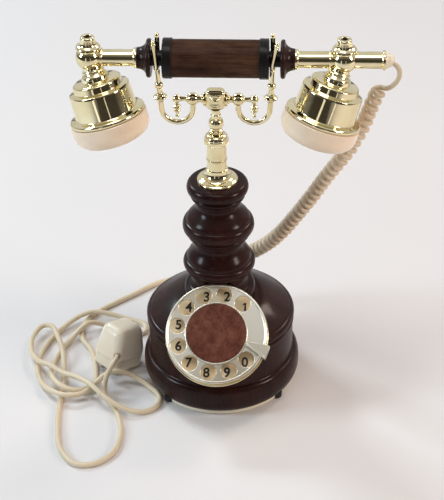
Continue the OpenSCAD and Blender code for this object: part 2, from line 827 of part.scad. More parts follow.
module cradle_stem() {
    color(brass) turned(concat(
        [[0, stem_bottom], [stem_r, stem_bottom], [stem_r, 222.6]],
        arc([4.1, 223.7], [0.9, 0.9], -60, 80, 6),
        [[3.6, 225], [3.5, 225.6]],
        arc([0, 230], [5.7, 5.7], -52, 54, 12),
        [[3.2, 235.4], [3.2, 237]],
        arc([4.6, 238.6], [-1.4, -1.6], 60, 0, 4),
        arc([4.6, 238.6], [-1.4, 4], 20, 80, 5),
        [[0, block_bottom]]
    ));
}

module cradle_block() {
    mid_z = (block_bottom + block_top) / 2;
    color(brass) {
        intersection() {
            translate([-block_half, -block_depth, block_bottom])
                cube([2 * block_half, 2 * block_depth, block_top - block_bottom]);
            translate([0, 0, mid_z]) sphere(r = 10);
        }
        for (s = [-1, 1])
            translate([0, s * (block_depth - 0.5), mid_z]) rotate([-90 * s, 0, 0]) turned([
                [0, 0], [5.4, 0], [5.4, 1], [4.9, 1.3], [4.3, 1], [3.6, 1], [3.2, 1.5], [2.7, 1.1],
                [2.2, 1.1], [2, 1.8], [1.2, 2.3], [0, 2.4]
            ]);
    }
}

module arm_side(s) {
    translate([0, 0, arm_z]) rotate([0, 90 * s, 0]) turned(concat(
        [[0, block_half], [5.2, block_half], [5.2, block_half + 1.5], [3.4, block_half + 2.2]],
        [[3.2, block_half + 3], [2.3, block_half + 3.4]],
        arc([0, arm_ball_x], [arm_ball_r, arm_ball_r], -60, 64, 12),
        [[1.9, 21.2], [1.6, 22.6], [1.7, 24]],
        arc([0, end_ball_x], [end_ball_r, end_ball_r], -50, 90, 10)
    ));
}

module cradle_arms() {
    color(brass) for (s = [-1, 1]) arm_side(s);
}

module pendants() {
    color(brass)
        for (s = [-1, 1]) translate([s * end_ball_x, 0, 0]) turned(concat(
            [[0, 234.4]],
            arc([0, 235.9], [1.4, 1.5], -80, 45, 5),
            [[1, 237.4], [1.3, 239]],
            arc([0.8, 240.4], [1.7, 1.3], -60, 80, 6),
            [[1.2, 242], [3, 242.7], [3.2, 243.4], [2.8, 244.1], [1.2, 244.8], [1.5, 245.8], [1, 246.4]],
            [[1, 248], [0, 248]]
        ));
}

module hook(s, splay) {
    mid = [s * hook_mid_x, 0, hook_z];
    lean = atan(splay / (prong_top - handset_z));
    color(brass) {
        translate([s * arm_ball_x, 0, hook_z])
            cylinder(r = hook_rod_r, h = arm_z - arm_ball_r - hook_z + 1.2);
        translate(mid) rotate([90, 0, 0]) rotate([0, 0, 180])
            rotate_extrude(angle = 180) translate([hook_bend_r, 0]) circle(r = hook_rod_r);
        translate([s * leg_x, 0, hook_z]) sphere(r = hook_rod_r + 0.15);
        translate([s * leg_x, 0, hook_z]) rotate([0, s * leg_lean, 0])
            translate([0, 0, -hook_z]) turned(concat(
            [[0, hook_z], [hook_rod_r, hook_z], [hook_rod_r, 248.6], [3.2, 249.4], [3.4, 250.4], [5, 251],
             [5.2, 251.6], [5, 252.2], [3.4, 252.8], [3.2, 253.6], [1.9, 254.6], [1.9, 258.4]],
            arc([0, 261.3], [3.25, 3.25], -52, 58, 8),
            [[prong_r, 264.6], [prong_r, handset_z - fork_r], [0, handset_z - fork_r]]
        ));
        translate([s * fork_x, 0, handset_z]) {
            rotate([90, 0, 90]) rotate([0, 0, 180])
                rotate_extrude(angle = 180) translate([fork_r, 0]) circle(r = prong_r);
            translate([0, fork_r, 0]) prong(prong_top - handset_z - 2);
            translate([0, -fork_r, 0]) sphere(r = prong_r + 0.15);
            translate([0, -fork_r, 0]) rotate([0, s * lean, 0]) prong(prong_top - handset_z);
        }
    }
}

module prong(h) {
    turned(concat(
        [[0, 0], [prong_r, 0], [prong_r, h - 2.6], [1.3, h - 2.2]],
        arc([0, h - 1], [1.5, 1.5], -45, 90, 8)
    ));
}

module hook_left() {
    hook(-1, left_splay);
}

module hook_right() {
    hook(1, right_splay);
}

// Handset
module at_handset() {
    translate([handset_x, 0, handset_z]) children();
}

module along_x(s = 1) {
    at_handset() rotate([0, 90 * s, 0]) children();
}

module grip_sleeve() {
    color(wood_grip) along_x() turned([
        [core_r + core_fit, -grip_half], [grip_r, -grip_half], [grip_r, grip_half],
        [core_r + core_fit, grip_half]
    ]);
}

module grip_core() {
    color(black) along_x() translate([0, 0, -core_half]) cylinder(r = core_r, h = 2 * core_half);
}

module grip_collars() {
    color(black)
        for (s = [-1, 1]) along_x(s) turned([
            [core_r + core_fit, grip_half], [collar_r - 0.4, grip_half], [collar_r, grip_half + 0.4],
            [collar_r, collar_end - 0.6], [collar_r - 0.6, collar_end], [core_r + core_fit, collar_end]
        ]);
}

module bell_caps() {
    color(wood_dark)
        for (s = [-1, 1]) along_x(s) turned(concat(
            [[core_r + core_fit, cap_start], [11.4, cap_start]],
            arc([12.3, cap_start + 1.8], [1.9, 1.8], -80, 50, 8),
            arc([13.4, cap_end - 0.2], [-5.6, cap_start + 3.6 - cap_end], 88, 6, 8),
            [[7.7, cap_end], [0, cap_end], [0, core_half], [core_r + core_fit, core_half]]
        ));
}

module handset_tubes() {
    color(brass) for (s = [-1, 1]) {
        far = s < 0 ? ball_x - 4 : tube_end;
        along_x(s) turned(concat(
            [[tube_bore_r, cap_end], [7.5, cap_end], [7.6, cap_end + 1.6], [6.9, cap_end + 2.4]],
            [[tube_r, cap_end + 2.6]],
            [[tube_r, ball_x - 10.3], [6.9, ball_x - 10], [6.9, ball_x - 8.9], [tube_r, ball_x - 8.6]],
            s < 0 ? [[tube_r, far]] : [[tube_r, far - 2.4], [7.3, far - 1.8], [7.3, far]],
            [[tube_bore_r, far]]
        ));
    }
}

module at_ball(s) {
    at_handset() translate([s * ball_x, 0, 0]) children();
}

// Local -Z runs from the ball joint down the middle of the cup
module at_cup(s) {
    at_ball(s) rotate([-cup_lean, 0, 0]) rotate([0, s < 0 ? -left_tilt : right_tilt, 0]) children();
}

module ball_joints() {
    color(brass) for (s = [-1, 1]) difference() {
        union() {
            at_ball(s) sphere(r = ball_r);
            at_cup(s) turned([
                [0, -10.8], [8, -10.8], [8.3, -10.2], [8, -9.4], [7, -8.6], [6.8, -6.6], [0, -4]
            ]);
        }
        at_ball(s) rotate([0, 90, 0]) translate([0, 0, s < 0 ? -4.2 : -20])
            cylinder(r = tube_r + 0.05, h = 40);
        at_ball(s) rotate([0, -90 * s, 0]) translate([0, 0, 8.3]) cylinder(r = 7, h = 6);
    }
}

module finials() {
    color(brass) for (s = [-1, 1]) at_ball(s) difference() {
        turned(concat(
            [[0, 5], [7.4, 5.8], [8.8, 7], [9.1, 7.8], [8.8, 8.9], [7.8, 10], [6.4, 10.6]],
            [[5.8, 12], [5.3, 14.8], [5.2, 16], [4.7, 16.8], [2.8, 16.9], [2.6, 16.6], [2.6, 12.6], [0, 12.6]]
        ));
        sphere(r = ball_r + 0.03);
        rotate([0, 90, 0]) translate([0, 0, -20]) cylinder(r = tube_r + 0.05, h = 40);
    }
}

module cup_shells() {
    color(brass) for (s = [-1, 1]) at_cup(s) rotate([180, 0, 0]) turned(concat(
        [[0, 10.8], [7.6, 10.8]],
        arc([5.8, 15], [4.2, 3.6], -55, 0, 6),
        [[10.2, 15.8], [10.4, 16.8], [16.6, 17.4]],
        arc([16.6, 18.8], [1.4, 1.4], -90, 0, 4),
        [[18.2, 22.6], [18.8, 23.4], [cup_r - 1.2, 24], [cup_r - 0.5, 24.8]],
        [[cup_r, 42.2], [cup_r + 0.8, 43]],
        arc([cup_r + 3.6, 45], [1.6, 1.8], -80, 90, 6),
        [[21, 46.8], [21, 26], [16.4, 24.6], [16.4, 19.4], [0, 18.4]]
    ));
}

module ear_caps() {
    color(cream) for (s = [-1, 1]) at_cup(s) rotate([180, 0, 0]) difference() {
        turned(concat(
            [[21.2, 46.9], [ear_cap_r - 0.8, 46.9], [ear_cap_r, 47.8], [ear_cap_r, 52]],
            arc([ear_cap_r - 9, 54], [9, 10.4], 0, 90, 10),
            [[8, 63.6], [0, 63.4], [0, 61], [17, 61.4], [25.6, 54], [25.6, 49.4], [21.2, 49.4]]
        ));
        for (a = [0:60:300]) rotate(a) translate([6, 0, 55]) cylinder(r = 1, h = 12);
        for (a = [0:30:330]) rotate(a) translate([12, 0, 55]) cylinder(r = 1, h = 12);
    }
}

module capsules() {
    color(steel) for (s = [-1, 1]) at_cup(s) rotate([180, 0, 0]) {
        translate([0, 0, 36]) cylinder(r = 20.9, h = 8);
        translate([0, 0, 44]) cylinder(r = 17, h = 6);
    }
}

module cord_boot() {
    color(cream) along_x() turned(concat(
        [[0, tube_end], [6.3, tube_end], [6.2, tube_end + 1]],
        arc([0, tube_end + 1.5], [boot_r, boot_r], 5, 90, 10)
    ));
}

base_body();
base_plate();
rubber_feet();
plate_screws();
column();
tie_tube();
tie_nut();
column_flange();
guide_tube();
guide_cap();
plunger_spring();
hook_bracket();
pivot_pins();
hook_contacts();
ringer_frame();
ringer_coils();
gongs();
gong_posts();
circuit_board();
handset_grommet();
line_grommet();
line_cord();
plug_cover();
plug_base();
plug_pins();
handset_cord();
dial_case();
number_plate();
finger_stop();
dial_bearing();
governor_cup();
impulse_contacts();
finger_wheel();
hub_disc();
hub_ring();
dial_shaft();
dial_gear();
dial_spring();
governor_shaft();
hook_lever();
clapper();
plunger_rod();
cradle_stem();
cradle_block();
cradle_arms();
pendants();
hook_left();
hook_right();
grip_sleeve();
grip_core();
grip_collars();
bell_caps();
handset_tubes();
ball_joints();
finials();
cup_shells();
ear_caps();
capsules();
cord_boot();
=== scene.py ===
"""Looks of a rotary desk telephone on a turned wood pedestal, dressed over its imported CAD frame."""

import json
import logging
import math
from dataclasses import dataclass, field
from enum import Enum
from typing import Iterable, Sequence

import bmesh
import bpy
from mathutils import Matrix, Vector
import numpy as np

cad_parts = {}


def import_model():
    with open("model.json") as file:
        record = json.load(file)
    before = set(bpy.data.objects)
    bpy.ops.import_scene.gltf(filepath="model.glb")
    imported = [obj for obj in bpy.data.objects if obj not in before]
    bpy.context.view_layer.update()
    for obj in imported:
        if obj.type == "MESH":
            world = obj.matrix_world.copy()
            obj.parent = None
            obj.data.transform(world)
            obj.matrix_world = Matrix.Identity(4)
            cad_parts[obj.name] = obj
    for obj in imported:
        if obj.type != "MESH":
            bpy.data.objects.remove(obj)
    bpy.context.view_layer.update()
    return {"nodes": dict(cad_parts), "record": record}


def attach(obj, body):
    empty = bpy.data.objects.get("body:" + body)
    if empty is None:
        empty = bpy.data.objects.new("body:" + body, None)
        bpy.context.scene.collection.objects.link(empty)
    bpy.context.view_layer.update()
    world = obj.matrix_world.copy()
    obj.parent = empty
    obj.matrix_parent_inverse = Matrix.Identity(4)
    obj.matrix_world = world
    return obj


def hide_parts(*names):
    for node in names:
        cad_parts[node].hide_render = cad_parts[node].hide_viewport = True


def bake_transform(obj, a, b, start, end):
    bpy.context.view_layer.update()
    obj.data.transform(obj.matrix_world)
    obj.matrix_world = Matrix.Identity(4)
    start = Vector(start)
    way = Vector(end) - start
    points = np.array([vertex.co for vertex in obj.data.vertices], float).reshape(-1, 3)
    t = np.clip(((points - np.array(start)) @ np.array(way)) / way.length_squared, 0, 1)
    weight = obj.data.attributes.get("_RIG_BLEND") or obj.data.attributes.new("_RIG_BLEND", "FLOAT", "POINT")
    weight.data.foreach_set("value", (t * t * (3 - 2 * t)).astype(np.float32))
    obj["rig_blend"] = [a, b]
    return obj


LOG = logging.getLogger("telephone")
MM = 0.001
CREASE = 34.0
WELD = 1e-4
SLIVER = 1e-5
DIAL_TILT = 42.3
DIAL_MIDDLE = (0.0, -0.050, 0.0751)
MIX_A, MIX_B, MIX_RESULT = 6, 7, 2

Node = bpy.types.Node
Piece = bpy.types.Object
Shape = bmesh.types.BMesh
Point2 = tuple[float, float]
Point3 = tuple[float, float, float]
Colour = tuple[float, float, float]


class Axis(Enum):
    """The direction in which a wood's grain runs."""

    X = 0
    Y = 1
    Z = 2

    def stretch(self, share: float) -> Point3:
        """Returns a scale that draws a pattern out along this axis."""
        return tuple(share if axis is self else 1.0 for axis in Axis)


class Body(Enum):
    """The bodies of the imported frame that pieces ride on."""

    STAND = "stand"
    DIAL = "dial"
    CRADLE = "cradle"
    HANDSET = "handset"


class Side(Enum):
    """The two ends of the handset and cradle."""

    LEFT = -1
    RIGHT = 1


# Materials


class NodeSheet:
    """The node tree of a material or a world, with short calls to add and join nodes."""

    def __init__(self, owner: bpy.types.Material | bpy.types.World) -> None:
        """Starts from a new material or world.

        Args:
            owner: The material or world, which has only its first shader.
        """
        owner.use_nodes = True
        self.owner = owner
        self.tree = owner.node_tree
        self.shader = self.tree.nodes.get("Principled BSDF") or self.tree.nodes["Background"]

    def add(self, kind: str, values: dict[str | int, object] | None = None, **settings: object) -> Node:
        """Adds a node.

        Args:
            kind: The node's type name.
            values: Values of its sockets, by socket name or number.
            settings: Its other properties.

        Returns:
            The new node.
        """
        node = self.tree.nodes.new(kind)
        for key, value in settings.items():
            setattr(node, key, value)
        for key, value in (values or {}).items():
            node.inputs[key].default_value = value
        return node

    def join(self, source: Node, output: str | int, target: Node, socket: str | int) -> None:
        """Links one node's output to another's socket."""
        self.tree.links.new(source.outputs[output], target.inputs[socket])

    def placed(self, middle: Point3, tilt: float, stretch: Point3 = (1, 1, 1)) -> Node:
        """Adds Object coordinates seen from a tilted place.

        Args:
            middle: The place, in metres.
            tilt: Its turn about X in degrees.
            stretch: Scale of the pattern on each axis there.

        Returns:
            The mapping node.
        """
        coords = self.add("ShaderNodeTexCoord")
        scale = tuple(1 / s for s in stretch)
        values = {"Location": middle, "Rotation": (math.radians(tilt), 0, 0), "Scale": scale}
        mapping = self.add("ShaderNodeMapping", values, vector_type="TEXTURE")
        self.join(coords, "Object", mapping, "Vector")
        return mapping

    def noise(
        self, scale: float, detail: float, stretch: Point3 = (1, 1, 1), rough: float = 0.55, tilt: float = 0.0
    ) -> Node:
        """Adds noise on Object coordinates.

        Args:
            scale: Noise cells in a metre.
            detail: Octaves of finer noise.
            stretch: Scale of the pattern on each axis.
            rough: Share of the finer noise.
            tilt: Turn of the pattern about X in degrees.

        Returns:
            The noise node.
        """
        noise = self.add("ShaderNodeTexNoise", {"Scale": scale, "Detail": detail, "Roughness": rough})
        self.join(self.placed((0, 0, 0), tilt, stretch), "Vector", noise, "Vector")
        return noise

    def ramp(self, source: Node, output: str, stops: Sequence[tuple[float, Colour]]) -> Node:
        """Adds a colour ramp.

        Args:
            source: The node whose output drives it.
            output: That output's name.
            stops: Places from 0 to 1 with their colours.

        Returns:
            The ramp node.
        """
        ramp = self.add("ShaderNodeValToRGB")
        elements = ramp.color_ramp.elements
        while len(elements) < len(stops):
            elements.new(0.5)
        for element, (place, colour) in zip(elements, stops):
            element.position = place
            element.color = (*colour, 1)
        self.join(source, output, ramp, "Fac")
        return ramp

    def tint(self, source: Node, output: str, stops: Sequence[tuple[float, Colour]]) -> None:
        """Colours the shader by a ramp."""
        self.join(self.ramp(source, output, stops), "Color", self.shader, "Base Color")

    def sheen(self, noise: Node, low: float, high: float) -> None:
        """Varies the shader's roughness over the middle of a noise.

        Args:
            noise: The noise node.
            low: Roughness at its low values.
            high: Roughness at its high values.
        """
        values = {"From Min": 0.3, "From Max": 0.7, "To Min": low, "To Max": high}
        spread = self.add("ShaderNodeMapRange", values)
        self.join(noise, "Fac", spread, "Value")
        self.join(spread, "Result", self.shader, "Roughness")

    def bump(self, noise: Node, strength: float, distance: float) -> None:
        """Gives the shader relief from a noise.

        Args:
            noise: The noise node, which is the height.
            strength: Share of the relief.
            distance: Its depth in metres.
        """
        bump = self.add("ShaderNodeBump", {"Strength": strength, "Distance": distance})
        self.join(noise, "Fac", bump, "Height")
        self.join(bump, "Normal", self.shader, "Normal")

    def set(self, **values: object) -> None:
        """Sets the shader's own sockets, written with _ for a space."""
        for key, value in values.items():
            self.shader.inputs[key.replace("_", " ")].default_value = value


@dataclass(frozen=True)
class Finish:
    """A surface that pieces are dressed in."""

    name: str
    slot: str

    def sheet(self) -> NodeSheet:
        """Starts this finish's material."""
        return NodeSheet(bpy.data.materials.new(self.name))

    def material(self) -> bpy.types.Material:
        """Returns the material, made on first use."""
        return bpy.data.materials.get(self.name) or self.made().owner

    def made(self) -> NodeSheet:
        """Builds the finish's nodes."""
        raise NotImplementedError


@dataclass(frozen=True)
class Wood(Finish):
    """Turned wood with drawn-out grain under varnish."""

    dark: Colour
    light: Colour
    grain: Axis
    gloss: float
    roughness: float
    pore: Colour = (0.62, 0.58, 0.56)
    tilt: float = 0.0
    cells: float = 42.0
    drawn: float = 0.14
    pore_drawn: float = 0.05

    def made(self) -> NodeSheet:
        """Builds grain, pores and varnish.

        Returns:
            The finished sheet.
        """
        sheet = self.sheet()
        grain = sheet.noise(self.cells, 6, self.grain.stretch(self.drawn), 0.62, self.tilt)
        middle = tuple((a + b) / 2 for a, b in zip(self.dark, self.light))
        ramp = sheet.ramp(grain, "Fac", [(0.32, self.dark), (0.52, middle), (0.72, self.light)])
        pores = sheet.noise(900, 3, self.grain.stretch(self.pore_drawn), 0.5, self.tilt)
        shade = sheet.ramp(pores, "Fac", [(0.36, self.pore), (0.52, (1, 1, 1))])
        mix = sheet.add("ShaderNodeMix", {"Factor": 1.0}, data_type="RGBA", blend_type="MULTIPLY")
        sheet.join(ramp, "Color", mix, MIX_A)
        sheet.join(shade, "Color", mix, MIX_B)
        sheet.join(mix, MIX_RESULT, sheet.shader, "Base Color")
        sheet.sheen(sheet.noise(70, 3), self.roughness - 0.06, self.roughness + 0.08)
        sheet.bump(pores, 0.12, 0.0002)
        sheet.set(Coat_Weight=self.gloss, Coat_Roughness=0.17, Coat_IOR=1.36, Specular_IOR_Level=0.05)
        return sheet


@dataclass(frozen=True)
class Metal(Finish):
    """Polished metal with faint tarnish."""

    bright: Colour
    # The dark colour: tarnish on plain metal, and the painted shade between the highlight fans on the spun
    # wheel.
    tarnish_and_shade: Colour
    roughness: float
    relief: float = 0.02
    wear: float = 1.0

    def made(self) -> NodeSheet:
        """Builds tarnish and fine polishing marks.

        Returns:
            The finished sheet.
        """
        sheet = self.sheet()
        sheet.tint(sheet.noise(55, 5), "Fac", [(0.35, self.tarnish_and_shade), (0.6, self.bright)])
        marks = sheet.noise(420, 4)
        low, high = 1 - 0.3 * self.wear, 1 + 0.5 * self.wear
        sheet.sheen(marks, self.roughness * low, self.roughness * high)
        sheet.bump(marks, self.relief, 0.0001)
        sheet.set(Metallic=1.0)
        return sheet


@dataclass(frozen=True)
class SpunMetalPaintedFans(Metal):
    """Metal brushed in circles, with two fans of painted highlight round its middle and painted shade between
    them.
    """

    middle: Point3 = (0, 0, 0)
    tilt: float = 0.0
    painted_fan_angle: float = 20.0

    def made(self) -> NodeSheet:
        """Paints two fans of highlight, with painted shade between them and brushing streaks, into the base
        colour over the tarnish.

        Returns:
            The finished sheet.
        """
        sheet = super().made()
        split = sheet.add("ShaderNodeSeparateXYZ")
        sheet.join(sheet.placed(self.middle, self.tilt), "Vector", split, "Vector")
        flat = sheet.add("ShaderNodeCombineXYZ")
        sheet.join(split, "X", flat, "X")
        sheet.join(split, "Y", flat, "Y")
        unit = sheet.add("ShaderNodeVectorMath", operation="NORMALIZE")
        sheet.join(flat, "Vector", unit, 0)
        sweep = math.radians(self.painted_fan_angle)
        axis = (math.cos(sweep), math.sin(sweep), 0)
        facing = sheet.add("ShaderNodeVectorMath", {1: axis}, operation="DOT_PRODUCT")
        sheet.join(unit, "Vector", facing, 0)
        # The squared facing is painted light: two opposite sectors are lightened as painted highlight, with
        # painted shade between them.
        painted_fans = sheet.add("ShaderNodeMath", operation="MULTIPLY")
        for socket in range(2):
            sheet.join(facing, "Value", painted_fans, socket)
        streaks = sheet.add("ShaderNodeTexNoise", {"Scale": 14.0, "Detail": 3.0})
        sheet.join(unit, "Vector", streaks, "Vector")
        streaks_and_painted_fans = sheet.add("ShaderNodeMath", {1: 0.3}, operation="MULTIPLY_ADD")
        sheet.join(streaks, "Fac", streaks_and_painted_fans, 0)
        sheet.join(painted_fans, "Value", streaks_and_painted_fans, 2)
        middle = tuple((a + b) / 2 for a, b in zip(self.tarnish_and_shade, self.bright))
        sheet.tint(streaks_and_painted_fans, "Value", [(0.1, self.tarnish_and_shade), (0.45, middle), (0.95, self.bright)])
        return sheet


@dataclass(frozen=True)
class Plastic(Finish):
    """Moulded plastic, rubber or cord sheath."""

    base: Colour
    shade: Colour
    roughness: float
    relief: float = 0.04
    coat: float = 0.0
    shine: float = 0.5

    def made(self) -> NodeSheet:
        """Builds a slightly uneven colour and a fine moulded relief.

        Returns:
            The finished sheet.
        """
        sheet = self.sheet()
        sheet.tint(sheet.noise(38, 4), "Fac", [(0.35, self.shade), (0.65, self.base)])
        fine = sheet.noise(1500, 2)
        sheet.sheen(fine, self.roughness * 0.9, self.roughness * 1.12)
        sheet.bump(fine, self.relief, 0.0001)
        sheet.set(Coat_Weight=self.coat, Coat_Roughness=0.08, Specular_IOR_Level=self.shine)
        return sheet


DARK_WOOD = Wood(
    "dark_mahogany", "dark_wood", (0.011, 0.0035, 0.003), (0.040, 0.0105, 0.008), Axis.Z, 0.4, 0.42
)
CAP_WOOD = Wood("dark_cap_wood", "dark_wood", (0.010, 0.004, 0.0035), (0.034, 0.010, 0.008), Axis.X, 0.4, 0.4)
GRIP_WOOD = Wood(
    "walnut_grip", "grip_wood", (0.020, 0.008, 0.005), (0.100, 0.047, 0.027), Axis.X, 0.05, 0.5,
    cells=60, drawn=0.45,
)  # fmt: skip
HUB_WOOD = Wood(
    "hub_wood", "grip_wood", (0.085, 0.026, 0.018), (0.215, 0.080, 0.052), Axis.Y, 0.1, 0.45,
    pore=(0.78, 0.72, 0.70), tilt=DIAL_TILT, cells=150, drawn=0.8, pore_drawn=0.45,
)  # fmt: skip
BRASS = Metal("polished_brass", "brass", (0.88, 0.79, 0.52), (0.79, 0.68, 0.40), 0.06)
PALE_BRASS = Metal("pale_brass", "pale_brass", (0.88, 0.83, 0.70), (0.78, 0.71, 0.55), 0.2)
# The wheel's base colour holds two fans of painted highlight with painted shade between them, over real
# brushing streaks.
WHEEL_BRASS = SpunMetalPaintedFans(
    "brushed_wheel_painted_fans", "pale_brass", (0.90, 0.87, 0.78), (0.58, 0.52, 0.41), 0.33,
    relief=0.001, wear=0.1, middle=DIAL_MIDDLE, tilt=DIAL_TILT,
)  # fmt: skip
STEEL = Metal("plain_steel", "steel", (0.62, 0.63, 0.65), (0.48, 0.48, 0.50), 0.3)
COPPER = Metal("copper_winding", "coil_copper", (0.72, 0.38, 0.22), (0.52, 0.25, 0.14), 0.35)
CREAM = Plastic("cream_plastic", "cream_plastic", (0.86, 0.74, 0.56), (0.80, 0.66, 0.47), 0.3, coat=0.3)
PLUG_CREAM = Plastic("plug_cream", "cream_plastic", (0.92, 0.81, 0.65), (0.87, 0.75, 0.58), 0.34, coat=0.2)
PEACH = Plastic("ear_cap_cream", "cream_plastic", (0.93, 0.76, 0.58), (0.89, 0.70, 0.51), 0.28, coat=0.4)
CURL_CREAM = Plastic("curly_cord_cream", "cord_cream", (0.75, 0.62, 0.46), (0.67, 0.53, 0.38), 0.42)
LINE_BEIGE = Plastic("line_cord_beige", "cord_beige", (0.79, 0.66, 0.47), (0.72, 0.58, 0.40), 0.42)
TAN = Plastic("number_plate_tan", "tan_card", (0.90, 0.72, 0.46), (0.84, 0.64, 0.38), 0.45)
INK = Plastic("digit_ink", "black_plastic", (0.012, 0.011, 0.010), (0.02, 0.018, 0.016), 0.5)
BLACK = Plastic(
    "gloss_black", "black_plastic", (0.008, 0.007, 0.007), (0.012, 0.011, 0.010), 0.3, coat=0.05, shine=0.12
)
RUBBER = Plastic("foot_rubber", "black_rubber", (0.012, 0.012, 0.012), (0.022, 0.021, 0.020), 0.75, 0.2)
BOARD = Plastic("board_green", "board", (0.06, 0.22, 0.10), (0.04, 0.16, 0.07), 0.4)

MAIN_FINISHES = (
    DARK_WOOD, GRIP_WOOD, BRASS, PALE_BRASS, STEEL, BLACK, RUBBER, CREAM, CURL_CREAM, LINE_BEIGE, TAN, COPPER,
    BOARD,
)  # fmt: skip
NODE_FINISHES: dict[str, Finish] = {finish.slot: finish for finish in MAIN_FINISHES}


# Shaping tools, all in millimetres


def arc(mid: Point2, size: Point2, start: float, stop: float, steps: int = 16) -> list[Point2]:
    """Returns points of an ellipse's arc.

    Args:
        mid: The ellipse's middle.
        size: Its two half sizes.
        start: First angle in degrees.
        stop: Last angle in degrees.
        steps: Number of chords.

    Returns:
        The points in order.
    """
    angles = [math.radians(start + (stop - start) * i / steps) for i in range(steps + 1)]
    return [(mid[0] + size[0] * math.cos(a), mid[1] + size[1] * math.sin(a)) for a in angles]


def s_curve(low: Point2, high: Point2, steps: int = 24) -> list[Point2]:
    """Draws an S-shaped flank that leaves both ends upright.

    Args:
        low: Its lower end.
        high: Its upper end.
        steps: Number of chords.

    Returns:
        The points in order.
    """
    shares = [i / steps for i in range(steps + 1)]
    return [
        (high[0] + (low[0] - high[0]) * (1 + math.cos(math.pi * t)) / 2, low[1] + (high[1] - low[1]) * t)
        for t in shares
    ]


def soft(corners: Sequence[Point3], steps: int = 5) -> list[Point2]:
    """Rounds the corners of an outline.

    Args:
        corners: Points with the rounding that each gets.
        steps: Chords of each rounding.

    Returns:
        The rounded outline.
    """
    out: list[Point2] = []
    for i, (x, y, size) in enumerate(corners):
        here = Vector((x, y))
        if size <= 0 or i in (0, len(corners) - 1):
            out.append((x, y))
            continue
        before = Vector(corners[i - 1][:2]) - here
        after = Vector(corners[i + 1][:2]) - here
        reach = min(size, before.length * 0.48, after.length * 0.48)
        a, b = here + before.normalized() * reach, here + after.normalized() * reach
        for k in range(steps + 1):
            t = k / steps
            p = a * (1 - t) ** 2 + here * (2 * t * (1 - t)) + b * t * t
            out.append((p.x, p.y))
    return out


def linked(name: str, data: bpy.types.ID) -> Piece:
    """Makes an object of some data and links it to the scene.

    Args:
        name: The object's name.
        data: Its mesh, curve, camera or light.

    Returns:
        The object.
    """
    thing = bpy.data.objects.new(name, data)
    bpy.context.scene.collection.objects.link(thing)
    return thing


def shifted(piece: Piece, place: Matrix) -> Piece:
    """Moves a piece's mesh by a placement in millimetres."""
    piece.data.transform(Matrix.Scale(MM, 4) @ place @ Matrix.Scale(1 / MM, 4))
    return piece


def finished(
    name: str, shape: Shape, place: Matrix | None = None, crease: float = CREASE
) -> Piece:
    """Turns a bmesh into a smooth-shaded object at the origin.

    Args:
        name: The object's name.
        shape: The bmesh, in millimetres; it is freed.
        place: Where it goes, in millimetres.
        crease: Angle in degrees above which an edge stays sharp.

    Returns:
        The linked object.
    """
    bmesh.ops.remove_doubles(shape, verts=shape.verts, dist=WELD)
    bmesh.ops.dissolve_degenerate(shape, dist=SLIVER, edges=shape.edges)
    bmesh.ops.recalc_face_normals(shape, faces=shape.faces)
    bmesh.ops.transform(shape, matrix=Matrix.Scale(MM, 4) @ (place or Matrix.Identity(4)), verts=shape.verts)
    mesh = bpy.data.meshes.new(name)
    shape.to_mesh(mesh)
    shape.free()
    mesh.shade_smooth()
    mesh.set_sharp_from_angle(angle=math.radians(crease))
    return linked(name, mesh)


def spun(outline: Sequence[Point2], steps: int = 96, ring: bool = False) -> Shape:
    """Spins an outline of radius and height about Z.

    Args:
        outline: The points, from the axis to the axis, or round a ring.
        steps: Segments of the full turn.
        ring: Whether the last point joins the first.

    Returns:
        The spun bmesh.
    """
    shape = bmesh.new()
    verts = [shape.verts.new((max(r, 0.0), 0.0, z)) for r, z in outline]
    edges = [shape.edges.new((a, b)) for a, b in zip(verts, verts[1:]) if max(a.co.x, b.co.x) > 1e-6]
    if ring:
        edges.append(shape.edges.new((verts[-1], verts[0])))
    bmesh.ops.spin(
        shape, geom=verts + edges, cent=(0, 0, 0), axis=(0, 0, 1), angle=math.tau, steps=steps, use_merge=True
    )
    bmesh.ops.remove_doubles(shape, verts=shape.verts, dist=WELD)
    return shape


def turned(
    name: str, outline: Sequence[Point2], place: Matrix | None = None, steps: int = 96, ring: bool = False
) -> Piece:
    """Makes a turned piece from its outline."""
    return finished(name, spun(outline, steps, ring), place)


def from_curve(name: str, curve: bpy.types.Curve, crease: float = CREASE) -> Piece:
    """Turns a curve in millimetres into a finished mesh piece.

    Args:
        name: The piece's name.
        curve: The curve, which is removed.
        crease: Angle in degrees above which an edge stays sharp.

    Returns:
        The piece.
    """
    holder = linked(name + "_line", curve)
    mesh = bpy.data.meshes.new_from_object(holder.evaluated_get(bpy.context.evaluated_depsgraph_get()))
    shape = bmesh.new()
    shape.from_mesh(mesh)
    bpy.data.objects.remove(holder)
    bpy.data.meshes.remove(mesh)
    bpy.data.curves.remove(curve)
    return finished(name, shape, crease=crease)


def rod(name: str, points: Sequence[Point3], radius: float, sides: int = 3) -> Piece:
    """Makes a bent round rod or cord.

    Args:
        name: The piece's name.
        points: Its middle line in millimetres.
        radius: Its radius.
        sides: Bevel resolution of its round.

    Returns:
        The piece.
    """
    curve = bpy.data.curves.new(name + "_curve", "CURVE")
    curve.dimensions = "3D"
    curve.bevel_depth = radius
    curve.bevel_resolution = sides
    curve.use_fill_caps = True
    spline = curve.splines.new("POLY")
    spline.points.add(len(points) - 1)
    for point, place in zip(spline.points, points):
        point.co = (*place, 1)
    return from_curve(name, curve)


